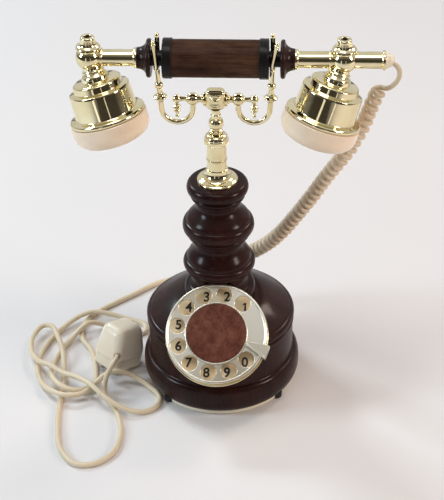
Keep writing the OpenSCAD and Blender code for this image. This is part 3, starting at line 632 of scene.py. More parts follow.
def plate(
    name: str, loops: Sequence[Sequence[Point2]], half: float, bevel: float, place: Matrix
) -> Piece:
    """Makes a flat plate with holes and softened edges.

    Args:
        name: The piece's name.
        loops: The outline, then any holes.
        half: Half the plate's thickness.
        bevel: Rounding of its edges.
        place: Where the plate's middle goes, in millimetres.

    Returns:
        The piece.
    """
    curve = bpy.data.curves.new(name + "_curve", "CURVE")
    curve.dimensions = "2D"
    curve.fill_mode = "BOTH"
    curve.extrude = half - bevel
    curve.bevel_depth = bevel
    curve.bevel_resolution = 2
    for loop in loops:
        spline = curve.splines.new("POLY")
        spline.points.add(len(loop) - 1)
        spline.use_cyclic_u = True
        for point, (x, y) in zip(spline.points, loop):
            point.co = (x, y, 0, 1)
    piece = from_curve(name, curve, 40)
    for face in piece.data.polygons:
        face.use_smooth = abs(face.normal.z) < 0.999
    return shifted(piece, place)


def circle(mid: Point2, radius: float, count: int = 96) -> list[Point2]:
    """Returns the points of a full circle."""
    return arc(mid, (radius, radius), 0, 360 - 360 / count, count - 1)


def merged(name: str, pieces: Iterable[Piece]) -> Piece:
    """Joins pieces of one finish into one object.

    Args:
        name: The new object's name.
        pieces: The pieces, which are removed.

    Returns:
        The joined object.
    """
    shape = bmesh.new()
    for piece in pieces:
        shape.from_mesh(piece.data)
        mesh = piece.data
        bpy.data.objects.remove(piece)
        bpy.data.meshes.remove(mesh)
    mesh = bpy.data.meshes.new(name)
    shape.to_mesh(mesh)
    shape.free()
    return linked(name, mesh)


def carved(piece: Piece, cutter: Piece) -> Piece:
    """Cuts one piece's shape out of another.

    Args:
        piece: The piece that is cut.
        cutter: The shape taken out, which is removed.

    Returns:
        The cut piece.
    """
    cut = piece.modifiers.new("cut", "BOOLEAN")
    cut.operation = "DIFFERENCE"
    cut.solver = "EXACT"
    cut.object = cutter
    mesh = bpy.data.meshes.new_from_object(piece.evaluated_get(bpy.context.evaluated_depsgraph_get()))
    piece.modifiers.clear()
    old, spare = piece.data, cutter.data
    piece.data = mesh
    bpy.data.objects.remove(cutter)
    bpy.data.meshes.remove(old)
    bpy.data.meshes.remove(spare)
    mesh.name = piece.name
    mesh.shade_smooth()
    mesh.set_sharp_from_angle(angle=math.radians(CREASE))
    return piece


def between(points: Sequence[Vector], i: int, t: float) -> Vector:
    """Finds a place on a smooth line through points.

    Args:
        points: Points that the line passes.
        i: Number of the point before the place.
        t: Share of the way from there to the next point.

    Returns:
        The place.
    """
    a, b, c, d = points[max(i - 1, 0)], points[i], points[i + 1], points[min(i + 2, len(points) - 1)]
    bend, twist = 2 * a - 5 * b + 4 * c - d, 3 * b - a - 3 * c + d
    return 0.5 * (2 * b + (c - a) * t + bend * t**2 + twist * t**3)


def along(points: Sequence[Point3], steps: int) -> list[Point3]:
    """Draws a smooth line through points.

    Args:
        points: Points that the line passes.
        steps: Chords between two of them.

    Returns:
        The line's points.
    """
    p = [Vector(q) for q in points]
    line = [tuple(between(p, i, k / steps)) for i in range(len(p) - 1) for k in range(steps)]
    return [*line, tuple(p[-1])]


def eased(points: Sequence[Point3], at: int, reach: int) -> list[Point3]:
    """Smooths a line near one of its points.

    Args:
        points: The line's points.
        at: Number of the point in the middle of the stretch.
        reach: How many points on each side are smoothed.

    Returns:
        The smoothed line.
    """
    p = [Vector(q) for q in points]
    low, high = max(at - reach, 1), min(at + reach, len(p) - 2)
    for _ in range(reach * 3):
        for i in range(low, high + 1):
            p[i] = p[i] * 0.5 + (p[i - 1] + p[i + 1]) * 0.25
    return [tuple(q) for q in p]


def turn(degrees: float, axis: str) -> Matrix:
    """Returns a turn about an axis through the origin."""
    return Matrix.Rotation(math.radians(degrees), 4, axis)


def move(x: float, y: float, z: float) -> Matrix:
    """Returns a shift in millimetres."""
    return Matrix.Translation((x, y, z))


@dataclass
class Assembly:
    """A group of pieces that belong together."""

    made: list[Piece] = field(default_factory=list, init=False)

    def dress(self, piece: Piece, finish: Finish, body: Body, *nodes: str) -> Piece:
        """Gives a piece its finish and its body, and hides the CAD nodes it stands for.

        Args:
            piece: The piece.
            finish: Its finish.
            body: The body it rides on.
            nodes: CAD nodes that it replaces.

        Returns:
            The same piece.
        """
        piece.data.materials.clear()
        piece.data.materials.append(finish.material())
        if "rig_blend" not in piece:
            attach(piece, body.value)
        if nodes:
            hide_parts(*nodes)
        self.made.append(piece)
        return piece

    def build(self) -> None:
        """Makes and dresses the pieces."""
        raise NotImplementedError


# The telephone


@dataclass
class DialPlace:
    """Where the dial stands, in millimetres and degrees."""

    front: float = 50.0
    height: float = 75.1
    tilt: float = 47.7

    def matrix(self) -> Matrix:
        """Returns the dial's own frame, with Z out of its face."""
        return move(0, -self.front, self.height) @ turn(90 - self.tilt, "X")


@dataclass
class Cords(Assembly):
    """The curly handset cord, the line cord and its plug."""

    curl_diameter: float = 3.8
    curl_radius: float = 4.3
    line_diameter: float = 4.2
    coil_route: Sequence[Point3] = (
        (118.4, 8.6, 256), (112, 11, 237), (107, 15, 220), (98, 20, 198), (89, 25, 181), (80, 29, 165),
        (70, 33, 146), (59, 37, 127), (48, 41, 109), (37, 46, 94), (26, 52, 82), (16, 60, 71),
        (9, 68, 56), (6, 74, 39), (7, 80, 22),
    )  # fmt: skip
    coil_curls: Sequence[float] = (3.25, 2.5, 3.25, 2.75, 3, 3.75, 4, 4, 3.75, 3.5, 3.25, 3.5, 3.25, 2.75)
    lead_in: Sequence[Point3] = (
        (127.9, -1.7, 281.4), (130, -2.5, 280), (131.6, -3, 276.8), (131.8, -2.7, 272.8), (131, -1.4, 268.8),
        (129.4, 0.6, 264.8), (127.2, 3, 260.8), (124.8, 5.8, 257),
    )  # fmt: skip
    lead_out: Sequence[Point3] = (
        (3.1, 76, 19.6), (4.4, 72.2, 16.6), (6.4, 68.6, 14), (8.2, 65.6, 12.4), (9, 62.5, 12),
    )  # fmt: skip
    line_route: Sequence[Point3] = (
        (-9, 62.5, 12), (-9, 74, 10), (-10, 90, 4.5), (-17, 108, 2.2), (-35, 121, 2.2),
        (-58, 117, 2.2), (-80, 98, 2.2), (-98, 82, 2.2), (-112, 67, 2.2), (-118, 50, 2.2),
        (-116, 34, 2.2), (-108, 21, 2.2), (-103, 6, 2.2), (-100, -10, 2.2), (-100, -23, 2.6),
        (-108, -35, 5.5), (-120, -36, 7.5), (-131, -26, 7.5), (-136, -8, 4), (-133, 14, 2.2),
        (-125, 33, 3.5), (-113, 47, 9), (-100, 52, 4), (-88, 48, 2.2), (-76, 42, 2.2),
        (-66, 46, 2.2), (-68, 57, 2.2), (-82, 63, 2.2), (-98, 66, 5), (-114, 64, 7.5),
        (-129, 54, 4.5), (-140, 37, 2.2), (-147, 18, 2.2), (-148, -4, 2.2), (-142, -23, 2.2),
        (-132, -38, 6.5), (-119, -45, 8), (-107, -41, 7), (-98, -31, 9), (-91, -23, 11.5),
        (-83, -20.5, 13), (-74, -19.5, 11), (-65, -21, 7), (-56, -26, 3.4), (-48, -35, 2.2), (-47, -46, 2.2),
        (-55, -55, 2.2), (-67, -58, 4.5), (-80, -54, 8), (-91, -46, 11), (-101, -37, 13),
        (-113, -26, 11), (-125, -19, 9.5), (-136, -11, 10.5), (-147, -3, 8.5), (-155, 13, 5),
        (-157, 31, 5), (-151, 45, 6.5), (-142, 43, 8), (-135, 28, 8), (-129, 10, 7),
        (-126, -10, 3), (-124, -30, 2.2), (-124, -54, 2.2), (-122, -78, 2.2), (-117, -101, 2.2),
        (-104, -118, 2.2), (-88, -117, 2.2), (-76, -103, 2.2), (-73, -82, 2.2), (-77, -62, 2.2),
        (-83, -49, 2.2), (-88, -41, 2.8), (-90.4, -35, 5.4), (-90.2, -30.6, 10), (-88.8, -28, 15),
        (-86.4, -25.4, 19.4), (-83.8, -21.8, 22.2), (-82, -17.6, 23.2), (-81.8, -14, 22.7), (-82, -10.1, 22),
    )  # fmt: skip
    plug_at: Point3 = (-84, 2, 5)
    plug_turn: Point2 = (-15, -42)
    plug_half: Point2 = (13.8, 16.0)
    plug_round: float = 6.0
    plug_dome_r: float = 8.0

    def coil_line(self) -> list[Point3]:
        """Winds the curly cord's middle line, from the boot to its grommet.

        Returns:
            The line's points.
        """
        route = [Vector(p) for p in self.coil_route]
        sums = [0.0]
        for curls in self.coil_curls:
            sums.append(sums[-1] + curls)

        def at(u: float) -> Vector:
            """Returns the place on the route at u points from its start."""
            i = min(int(u), len(route) - 2)
            return between(route, i, u - i)

        line: list[Point3] = []
        per_curl = 24
        for k in range(int(sums[-1] * per_curl) + 1):
            c = k / per_curl
            i = max(j for j in range(len(self.coil_curls)) if sums[j] <= c)
            u = i + min(1.0, (c - sums[i]) / self.coil_curls[i])
            t = (at(min(u + 0.02, len(route) - 1)) - at(max(u - 0.02, 0))).normalized()
            side = t.cross(Vector((0, 1, 0))).normalized()
            angle = math.tau * c
            out = math.cos(angle) * side - math.sin(angle) * t.cross(side)
            line.append(tuple(at(u) + self.curl_radius * out))
        first = along([*self.lead_in, line[0], line[3]], 6)[:-7]
        last = along([line[-4], line[-1], *self.lead_out], 6)[7:]
        whole = [*first, *line, *last]
        return eased(eased(whole, len(first), 12), len(first) + len(line) - 1, 10)

    def handset_cord(self) -> None:
        """Makes the curly cord, which bends between the stand and the handset."""
        line = self.coil_line()
        piece = rod("curly_cord", line, self.curl_diameter / 2, 3)
        low, high = (0.026, 0.051, 0.080), (0.126, 0.007, 0.259)
        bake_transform(piece, Body.STAND.value, Body.HANDSET.value, start=low, end=high)
        self.dress(piece, CURL_CREAM, Body.STAND, "handset_cord")

    def line_cord(self) -> None:
        """Makes the line cord and the plug at its far end."""
        line = along(self.line_route, 6)
        piece = rod("line_cord_sheath", line, self.line_diameter / 2, 4)
        self.dress(piece, LINE_BEIGE, Body.STAND, "line_cord")
        plug = self.plug()

    def shell(self, name: str, discs: Sequence[Point2], balls: Point3 | None = None) -> Piece:
        """Makes one rounded half of the plug as the hull round discs and balls at its corners.

        Args:
            name: The piece's name.
            discs: Height and radius of the corner discs.
            balls: Where the balls of a domed top sit, from the middle, if it has one.

        Returns:
            The piece.
        """
        shape, r = bmesh.new(), self.plug_round
        for x, y in ((-1, -1), (-1, 1), (1, -1), (1, 1)):
            for height, radius in discs:
                mid = move(x * (self.plug_half[0] - r), y * (self.plug_half[1] - r), height)
                bmesh.ops.create_circle(shape, cap_ends=False, radius=radius, segments=40, matrix=mid)
            if balls:
                mid, r_dome = move(x * balls[0], y * balls[1], balls[2]), self.plug_dome_r
                bmesh.ops.create_uvsphere(shape, u_segments=40, v_segments=20, radius=r_dome, matrix=mid)
        bmesh.ops.delete(shape, geom=[*shape.edges, *shape.faces], context="EDGES_FACES")
        hull = bmesh.ops.convex_hull(shape, input=shape.verts)
        inner = [v for v in hull["geom_interior"] if isinstance(v, bmesh.types.BMVert)]
        bmesh.ops.delete(shape, geom=inner, context="VERTS")
        return finished(name, shape, self.plug_place(), 40)

    def plug_place(self) -> Matrix:
        """Returns the plug's own frame, with Z away from its pins."""
        return move(*self.plug_at) @ turn(self.plug_turn[1], "Z") @ turn(self.plug_turn[0], "X")

    def plug(self) -> list[Piece]:
        """Makes the plug's cover and base.

        Returns:
            The two pieces.
        """
        cover = self.shell("plug_shell", [(9, 5.4), (9.5, 6), (15, 6)], (4.6, 6.6, 27))
        hole = spun([(0, -3.6), (2.7, -3.6), (2.7, 4.4), (0, 4.4)], 32)
        spot = self.plug_place() @ move(12, -14.2, 14.4) @ turn(-45, "Z") @ turn(90, "Y")
        carved(cover, finished("plug_hole", hole, spot))
        base = self.shell("plug_foot", [(0, 4.8), (0.8, 5.6), (8.7, 5.6), (9, 5.2)])
        self.dress(cover, PLUG_CREAM, Body.STAND, "plug_cover")
        self.dress(base, PLUG_CREAM, Body.STAND, "plug_base")
        return [cover, base]

    def build(self) -> None:
        """Makes both cords and the plug."""
        self.handset_cord()
        self.line_cord()


@dataclass
class Stand(Assembly):
    """The turned pedestal: base, column and the brass on its top."""

    dial: DialPlace
    base_r: float = 61.0
    wall_r: float = 56.3
    wood_bottom: float = 5.0
    cavity_r: float = 49.0
    column_top: float = 181.0
    bulge_r: float = 27.6
    bore_r: float = 5.1
    flange_r: float = 15.3
    guide_r: float = 7.4
    cap_r: float = 9.1
    cap_bottom: float = 213.2
    foot_r: float = 4.5
    foot_circle_r: float = 53.5
    foot_angles: Sequence[float] = (-136, -34, 34, 136)

    def dial_cut(self, gap: float, top: float) -> Piece:
        """Makes the stepped round recess that the dial sits in.

        Args:
            gap: Room left round the dial's case.
            top: Height of the recess's upper face along the dial's axis.

        Returns:
            The cutting shape.
        """
        low, step = -31 - (6 if gap < 0.2 else gap), -9.5 - (0 if gap < 0.2 else gap)
        outline = [(0, low), (30 + gap, low), (30 + gap, step), (40.3, step), (40.3, top), (0, top)]
        return turned("dial_cut", outline, self.dial.matrix(), 128)

    def base(self) -> None:
        """Turns the base and cuts the dial's seat in it."""
        b, w, s, low = self.base_r, self.wall_r, self.wall_r + 1.2, self.wood_bottom
        dome = [
            (53.7 - 26.7 * i / 30, 65.5 + 12.5 * math.sin(math.radians(80 * i / 30)) / 0.98481)
            for i in range(31)
        ]
        outline = [
            (self.cavity_r, low), (b - 6, low),
            *arc((b - 6, low + 11), (6, 11), -82, 0, 18),
            *arc((w + 0.9, 19), (b - w - 0.9, 8.5), 6, 90, 20),
            *soft([(w + 0.5, 27.6, 0), (w, 28.2, 0.6), (w, 54.3, 0.3), (w + 0.1, 54.6, 0)]),
            *arc((w, 55.8), (0.9, 1.2), -80, 80, 10),
            *arc((s - 3.6, 61.2), (3.6, 3.6), -58, 82, 24),
            (54.1, 65.1),
            *dome,
            (self.bore_r, 78), (self.bore_r, 70), (16, 70), (44, 60), (self.cavity_r, 54),
        ]  # fmt: skip
        base = turned("turned_base", outline, steps=160, ring=True)
        carved(base, self.dial_cut(0.1, 40))
        self.dress(base, DARK_WOOD, Body.STAND, "base_body")

    def column(self) -> None:
        """Turns the column."""
        b = self.bulge_r
        outline = [
            (self.bore_r, 78), (26.4, 78),
            *arc((24.5, 83), (3, 5.2), -60, 70, 20),
            (25.2, 88),
            *arc((25.2, 94.5), (-5.6, -6.5), 90, 0, 16),
            *arc((19.9, 97.8), (1.7, 2.1), -80, 80, 12),
            *arc((22, 102), (2.3, 1.9), -80, 80, 12),
            *arc((b - 3, 108.2), (3, 4), -75, 70, 20),
            *s_curve((b - 2.7, 112.2), (19, 126)),
            *arc((19.5, 130.6), (1.6, 2), -80, 80, 12),
            *arc((21.8, 134.8), (2.2, 1.9), -80, 80, 12),
            *arc((24.2, 142), (3, 5), -80, 70, 20),
            *s_curve((24.4, 147), (16, 160)),
            *arc((16.4, 164.4), (1.7, 2), -80, 80, 12),
            *arc((18.6, 168.6), (2, 1.9), -80, 80, 12),
            *arc((19.6, 175.6), (3.7, 4.8), -80, 88, 28),
            (self.flange_r + 0.4, self.column_top), (self.bore_r, self.column_top),
        ]  # fmt: skip
        column = turned("turned_column", outline, steps=128, ring=True)
        carved(column, self.dial_cut(0.3, 2.2))
        self.dress(column, DARK_WOOD, Body.STAND, "column")

    def brasswork(self) -> None:
        """Turns the flange, guide tube and knurled cap on the column."""
        t, f, g, c = self.column_top, self.flange_r, self.guide_r, self.cap_r
        flange = [
            *soft([(self.bore_r, t, 0), (f, t, 0.2), (f, t + 1.3, 0.5), (f - 0.9, t + 1.9, 0)]),
            *arc((f - 0.8, t + 10), (-6.6, -7.6), 80, 0, 18),
            *soft([(8.2, t + 10, 0), (8.2, t + 10.6, 0.2), (self.bore_r, t + 10.6, 0)]),
        ]
        self.dress(turned("flange_cone", flange, ring=True), BRASS, Body.STAND, "column_flange")
        k = self.cap_bottom
        bead = arc((g, 200), (0.5, 0.8), -80, 80, 8)
        tube = [(5.3, t + 10.6), (g, t + 10.6), (g, 199.1), *bead, (g, 200.9), (g, k), (5.3, k)]
        self.dress(turned("guide_sleeve", tube, ring=True), BRASS, Body.STAND, "guide_tube")
        cap = [
            *soft([(4.9, k, 0), (c - 0.6, k, 0.3), (c, k + 0.5, 0.2), (c, k + 0.8, 0)]),
            (c, k + 1), (c, k + 3.2), (c, k + 3.4), (c, k + 3.8), (c - 0.3, k + 4.1),
            *arc((5, k + 4.1), (c - 5.4, 3.9), 4, 86, 20), (4.9, k + 8),
        ]  # fmt: skip
        shape = spun(cap, 240, ring=True)
        for vert in shape.verts:
            flat = vert.co.xy
            if k + 0.9 < vert.co.z < k + 3.3 and flat.length > c - 0.2:
                vert.co.xy = flat * (1 - 0.045 * (1 + math.cos(40 * math.atan2(flat.y, flat.x))) / 2)
        self.dress(finished("knurled_cap", shape, crease=24), BRASS, Body.STAND, "guide_cap")

    def feet(self) -> None:
        """Turns the rubber feet."""
        r = self.foot_r
        outline = soft([(0, 0, 0), (r - 0.2, 0, 0.8), (r, self.wood_bottom, 0.2), (0, self.wood_bottom, 0)])
        feet = [
            turned(f"foot_{i}", outline, turn(a, "Z") @ move(self.foot_circle_r, 0, 0), 40)
            for i, a in enumerate(self.foot_angles)
        ]
        self.dress(merged("rubber_foot_set", feet), RUBBER, Body.STAND, "rubber_feet")

    def build(self) -> None:
        """Makes the stand's pieces."""
        self.base()
        self.column()
        self.brasswork()
        self.feet()


@dataclass
class Dial(Assembly):
    """The finger wheel, number plate and finger stop."""

    place: DialPlace
    wheel_r: float = 38.5
    hole_circle_r: float = 30.1
    finger_r: float = 6.0
    hub_r: float = 22.6
    bezel_r: float = 39.3
    first_angle: float = 50.0
    step_angle: float = 30.0
    stop_angle: float = -20.0

    def spot(self, angle: float, radius: float, height: float) -> Matrix:
        """Returns a place on the dial, upright as the dial is seen."""
        a = math.radians(angle)
        return self.place.matrix() @ move(radius * math.cos(a), radius * math.sin(a), height)

    def case(self) -> None:
        """Makes the case with its bezel and the number plate."""
        b, m = self.bezel_r, self.place.matrix()
        outline = soft([
            (28.6, -29.5, 0), (28.6, -7, 0), (b - 0.3, -7, 0.4), (b, -8, 0.4), (b, -9.5, 0.2),
            (30, -9.5, 0.1), (30, -31, 0.5), (0, -31, 0), (0, -29.5, 0),
        ])  # fmt: skip
        self.dress(turned("dial_housing", [*outline, (28.6, -29.5)], m, 128), BRASS, Body.STAND, "dial_case")
        ring = soft([(8, -7, 0), (8, -6, 0.1), (37.2, -6, 0.2), (37.5, -7, 0)])
        self.dress(turned("number_ring", ring, m, 128, ring=True), TAN, Body.STAND, "number_plate")

    def digits(self) -> None:
        """Prints the digits under the finger holes."""
        marks = []
        stroke = [(1.0, -3.4), (1.0, 3.4), (0.1, 3.4), (-1.5, 2.5), (-1.5, 1.3), (-0.4, 1.9), (-0.4, -3.4)]
        for k, digit in enumerate("1234567890"):
            spot = self.spot(self.first_angle + self.step_angle * k - 3.5, self.hole_circle_r, -5.95)
            if digit == "1":
                marks.append(plate("digit_1", [stroke], 0.03, 0.005, spot))
                continue
            text = bpy.data.curves.new("digit_" + digit, "FONT")
            text.body = "9" if digit == "6" else digit
            text.size = 10.2
            text.align_x = "CENTER"
            text.align_y = "CENTER"
            text.extrude = 0.03
            text.offset = 0.26
            spot = spot @ turn(180 if digit == "6" else 0, "Z")
            marks.append(shifted(from_curve("digit_" + digit, text), spot))
        self.dress(merged("printed_digits", marks), INK, Body.STAND)

    def wheel(self) -> None:
        """Makes the finger wheel with its rolled rim."""
        m, r, h = self.place.matrix(), self.wheel_r, self.hole_circle_r
        holes = [
            circle((h * math.cos(a), h * math.sin(a)), self.finger_r + 0.35, 48)
            for a in (math.radians(self.first_angle + self.step_angle * k) for k in range(10))
        ]
        disc = plate("wheel_disc", [circle((0, 0), r - 1.2, 160), *holes], 1.0, 0.35, m)
        rim = turned("wheel_rim", [*arc((r - 1.3, 0), (1.3, 1.5), 0, 345, 23)], m, 160, ring=True)
        self.dress(merged("dialling_wheel", [disc, rim]), WHEEL_BRASS, Body.DIAL, "finger_wheel")

    def hub(self) -> None:
        """Makes the wood disc at the wheel's middle and the ring round it."""
        m, h = self.place.matrix(), self.hub_r
        disc = soft([(0, 1, 0), (h, 1, 0), (h, 2.4, 0.3), (h - 0.7, 3, 0.4), (0, 3.4, 0)])
        self.dress(turned("hub_button", disc, m), HUB_WOOD, Body.DIAL, "hub_disc")
        ring = [(h + 0.05, 1), (h + 1.2, 1), *arc((h + 0.6, 1.4), (0.6, 0.8), 0, 150, 10), (h + 0.05, 1.9)]
        self.dress(turned("hub_band", ring, m, ring=True), PALE_BRASS, Body.DIAL, "hub_ring")

    def stop(self) -> None:
        """Makes the finger stop, a wedge blade held at the rim."""
        tip, b = self.hub_r + 1.7, self.bezel_r
        m = self.place.matrix() @ turn(self.stop_angle, "Z")
        blade = [(tip, -0.6), (b + 1.6, -5.2), (b + 2.2, -4.6), (b + 2.2, 4.6), (b + 1.6, 5.2), (tip, 2.4)]
        lip = [(tip, -0.6), (b + 1.6, -5.2), (b + 1.6, -4), (tip, 0.6)]
        near, far = b + 0.25, b + 1.8
        tab = [*arc((0, 0), (far, far), -6.2, 6.2, 8), *arc((0, 0), (near, near), 6.2, -6.2, 8)]
        pieces = [
            plate("stop_blade", [blade], 0.45, 0.15, m @ move(0, 0, 2.15)),
            plate("stop_lip", [lip], 0.4, 0.2, m @ move(0, 0, 3)),
            plate("stop_tab", [tab], 5.65, 0.2, m @ move(0, 0, -3.85)),
        ]
        self.dress(merged("stop_plate", pieces), PALE_BRASS, Body.STAND, "finger_stop")

    def build(self) -> None:
        """Makes the dial's pieces."""
        self.case()
        self.digits()
        self.wheel()
        self.hub()
        self.stop()


@dataclass
class Cradle(Assembly):
    """The brass cradle: stem, block, arms, pendants and hooks."""

    arm_z: float = 250.0
    block_half: Point3 = (7.2, 4.8, 7.8)
    block_mid: float = 250.5
    ball_x: float = 16.5
    ball_r: float = 4.8
    end_x: float = 28.1
    end_r: float = 3.2
    fork_x: float = 41.5
    fork_r: float = 8.1
    rod_r: float = 2.0
    prong_r: float = 1.75
    hook_z: float = 242.0
    handset_z: float = 283.3
    leg_x: float = 39.4
    prong_top: float = 301.0
    back_drop: float = 2.0
    splay: dict[Side, float] = field(default_factory=lambda: {Side.LEFT: 1.5, Side.RIGHT: 4.0})

    def stem(self) -> None:
        """Turns the stem with its ball."""
        outline = [
            *soft([(0, 204, 0), (4.5, 204, 0.3), (4.5, 222.6, 0)]),
            *arc((4.1, 223.7), (0.9, 0.9), -60, 80, 10),
            (3.6, 225), (3.5, 225.6),
            *arc((0, 230), (5.7, 5.7), -52, 54, 26),
            (3.2, 235.4), (3.2, 237),
            *arc((4.6, 238.6), (-1.4, -1.6), 60, 0, 8),
            *arc((4.6, 238.6), (-1.4, 4), 20, 80, 8),
            (0, self.block_mid - self.block_half[2]),
        ]  # fmt: skip
        self.dress(turned("ball_stem", outline, steps=64), BRASS, Body.CRADLE, "cradle_stem")

    def block(self) -> None:
        """Makes the rounded block with a rosette on its front and back."""
        half, power = Vector(self.block_half), 4.5
        shape = bmesh.new()
        bmesh.ops.create_cube(shape, size=2)
        bmesh.ops.subdivide_edges(shape, edges=shape.edges, cuts=15, use_grid_fill=True)
        for vert in shape.verts:
            vert.co *= sum(abs(v) ** power for v in vert.co) ** (-1 / power)
        bmesh.ops.scale(shape, vec=half, verts=shape.verts)
        bmesh.ops.translate(shape, vec=(0, 0, self.block_mid), verts=shape.verts)
        body = finished("block_body", shape, crease=60)
        outline = soft([
            (0, 0, 0), (5.4, 0, 0), (5.4, 1, 0.3), (4.9, 1.3, 0.3), (4.3, 1, 0.2), (3.6, 1, 0.2),
            (3.2, 1.5, 0.3), (2.7, 1.1, 0.2), (2.2, 1.1, 0.2), (2, 1.8, 0.3), (1.2, 2.3, 0.4), (0, 2.4, 0),
        ])  # fmt: skip
        rosettes = []
        for k, s in enumerate((-1, 1)):
            spot = move(0, s * (half.y - 0.5), self.block_mid) @ turn(-90 * s, "X")
            rosettes.append(turned(f"rosette_{k}", outline, spot, 56))
        self.dress(merged("cradle_cube", [body, *rosettes]), BRASS, Body.CRADLE, "cradle_block")

    def arms(self) -> None:
        """Turns the two side arms and the pendants under their ends."""
        h, end = self.block_half[0], self.end_x
        outline = [
            *soft([
                (0, h - 0.6, 0), (5.2, h - 0.6, 0.2), (5.2, h + 1.4, 0.5), (3.4, h + 2.1, 0.3),
                (3.2, h + 3, 0.3), (2.3, h + 3.4, 0),
            ]),
            *arc((0, self.ball_x), (self.ball_r, self.ball_r), -60, 64, 24),
            (1.9, 21.2), (1.6, 22.6), (1.7, 24),
            *arc((0, end), (self.end_r, self.end_r), -50, 90, 20),
        ]  # fmt: skip
        high = move(0, 0, self.arm_z)
        arms = [turned(f"arm_{s.name}", outline, high @ turn(90 * s.value, "Y"), 56) for s in Side]
        self.dress(merged("side_arms", arms), BRASS, Body.CRADLE, "cradle_arms")
        drop = [
            (0, 234.4), *arc((0, 235.9), (1.4, 1.5), -80, 45, 10), (1, 237.4), (1.3, 239),
            *arc((0.8, 240.4), (1.7, 1.3), -60, 80, 12),
            *soft([
                (1.2, 242, 0), (3, 242.7, 0.3), (3.2, 243.4, 0.3), (2.8, 244.1, 0.3), (1.2, 244.8, 0.2),
                (1.5, 245.8, 0.3), (1, 246.4, 0.2), (1, 248, 0), (0, 248, 0),
            ]),
        ]  # fmt: skip
        drops = [turned(f"drop_{s.name}", drop, move(s.value * end, 0, 0), 40) for s in Side]
        self.dress(merged("pendant_drops", drops), BRASS, Body.CRADLE, "pendants")

    def prong(self, name: str, place: Matrix, height: float) -> Piece:
        """Turns one fork prong with its rounded tip.

        Args:
            name: The prong's name.
            place: Where its foot stands, in millimetres.
            height: Its height.

        Returns:
            The prong.
        """
        r = self.prong_r
        tip = arc((0, height - 1), (1.5, 1.5), -45, 90, 14)
        outline = [(0, 0), (r, 0), (r, height - 2.8), (1.3, height - 2.2), *tip]
        return turned(name, outline, place, 40)

    def hook(self, side: Side) -> None:
        """Makes one hook: a bent rod, its turned leg and the fork on top.

        Args:
            side: Which hook.
        """
        s, z, top = side.value, self.hook_z, self.prong_top - self.handset_z
        mid, bend = (self.ball_x + self.leg_x) / 2, (self.leg_x - self.ball_x) / 2
        sweep = [(s * x, 0, y) for x, y in arc((mid, z), (bend, bend), -180, 0, 40)]
        rise = self.handset_z - self.fork_r - z
        slope = (self.fork_x - self.leg_x) / rise
        up = (s * (self.leg_x + 3 * slope), 0, z + 3)
        bow = rod(f"bow_{side.name}", [(s * self.ball_x, 0, z + 4.5), *sweep, up], self.rod_r, 4)
        leg = [
            *soft([
                (0, z, 0), (2, z, 0), (2, 248.4, 0.4), (3.2, 249.4, 0.4), (3.4, 250.4, 0.3), (5, 251, 0.3),
                (5.2, 251.6, 0.4), (5, 252.2, 0.3), (3.4, 252.8, 0.3), (3.2, 253.6, 0.4), (1.9, 254.8, 0.6),
                (1.9, 258.3, 0),
            ]),
            *arc((0, 261.3), (3.25, 3.25), -54, 58, 18),
            *soft([(self.prong_r, 264.6, 0.2), (self.prong_r, 276, 0), (0, 276, 0)]),
        ]  # fmt: skip
        cradle = arc((0, self.handset_z), (self.fork_r, self.fork_r), 180, 360, 32)
        fork = [(s * self.fork_x, y, h) for y, h in cradle]
        lean = math.degrees(math.atan(self.splay[side] / top))
        root = move(s * self.fork_x, 0, self.handset_z)
        foot = move(s * self.leg_x, 0, z) @ turn(s * math.degrees(math.atan(slope)), "Y") @ move(0, 0, -z)
        parts = [
            bow,
            turned(f"leg_{side.name}", leg, foot, 48),
            rod(f"fork_{side.name}", fork, self.prong_r, 4),
            self.prong(f"back_{side.name}", root @ move(0, self.fork_r, 0), top - self.back_drop),
            self.prong(f"front_{side.name}", root @ move(0, -self.fork_r, 0) @ turn(s * lean, "Y"), top),
        ]
        node = "hook_left" if side is Side.LEFT else "hook_right"
        self.dress(merged(f"fork_hook_{side.name.lower()}", parts), BRASS, Body.CRADLE, node)

    def build(self) -> None:
        """Makes the cradle's pieces."""
        self.stem()
        self.block()
        self.arms()
        for side in Side:
            self.hook(side)


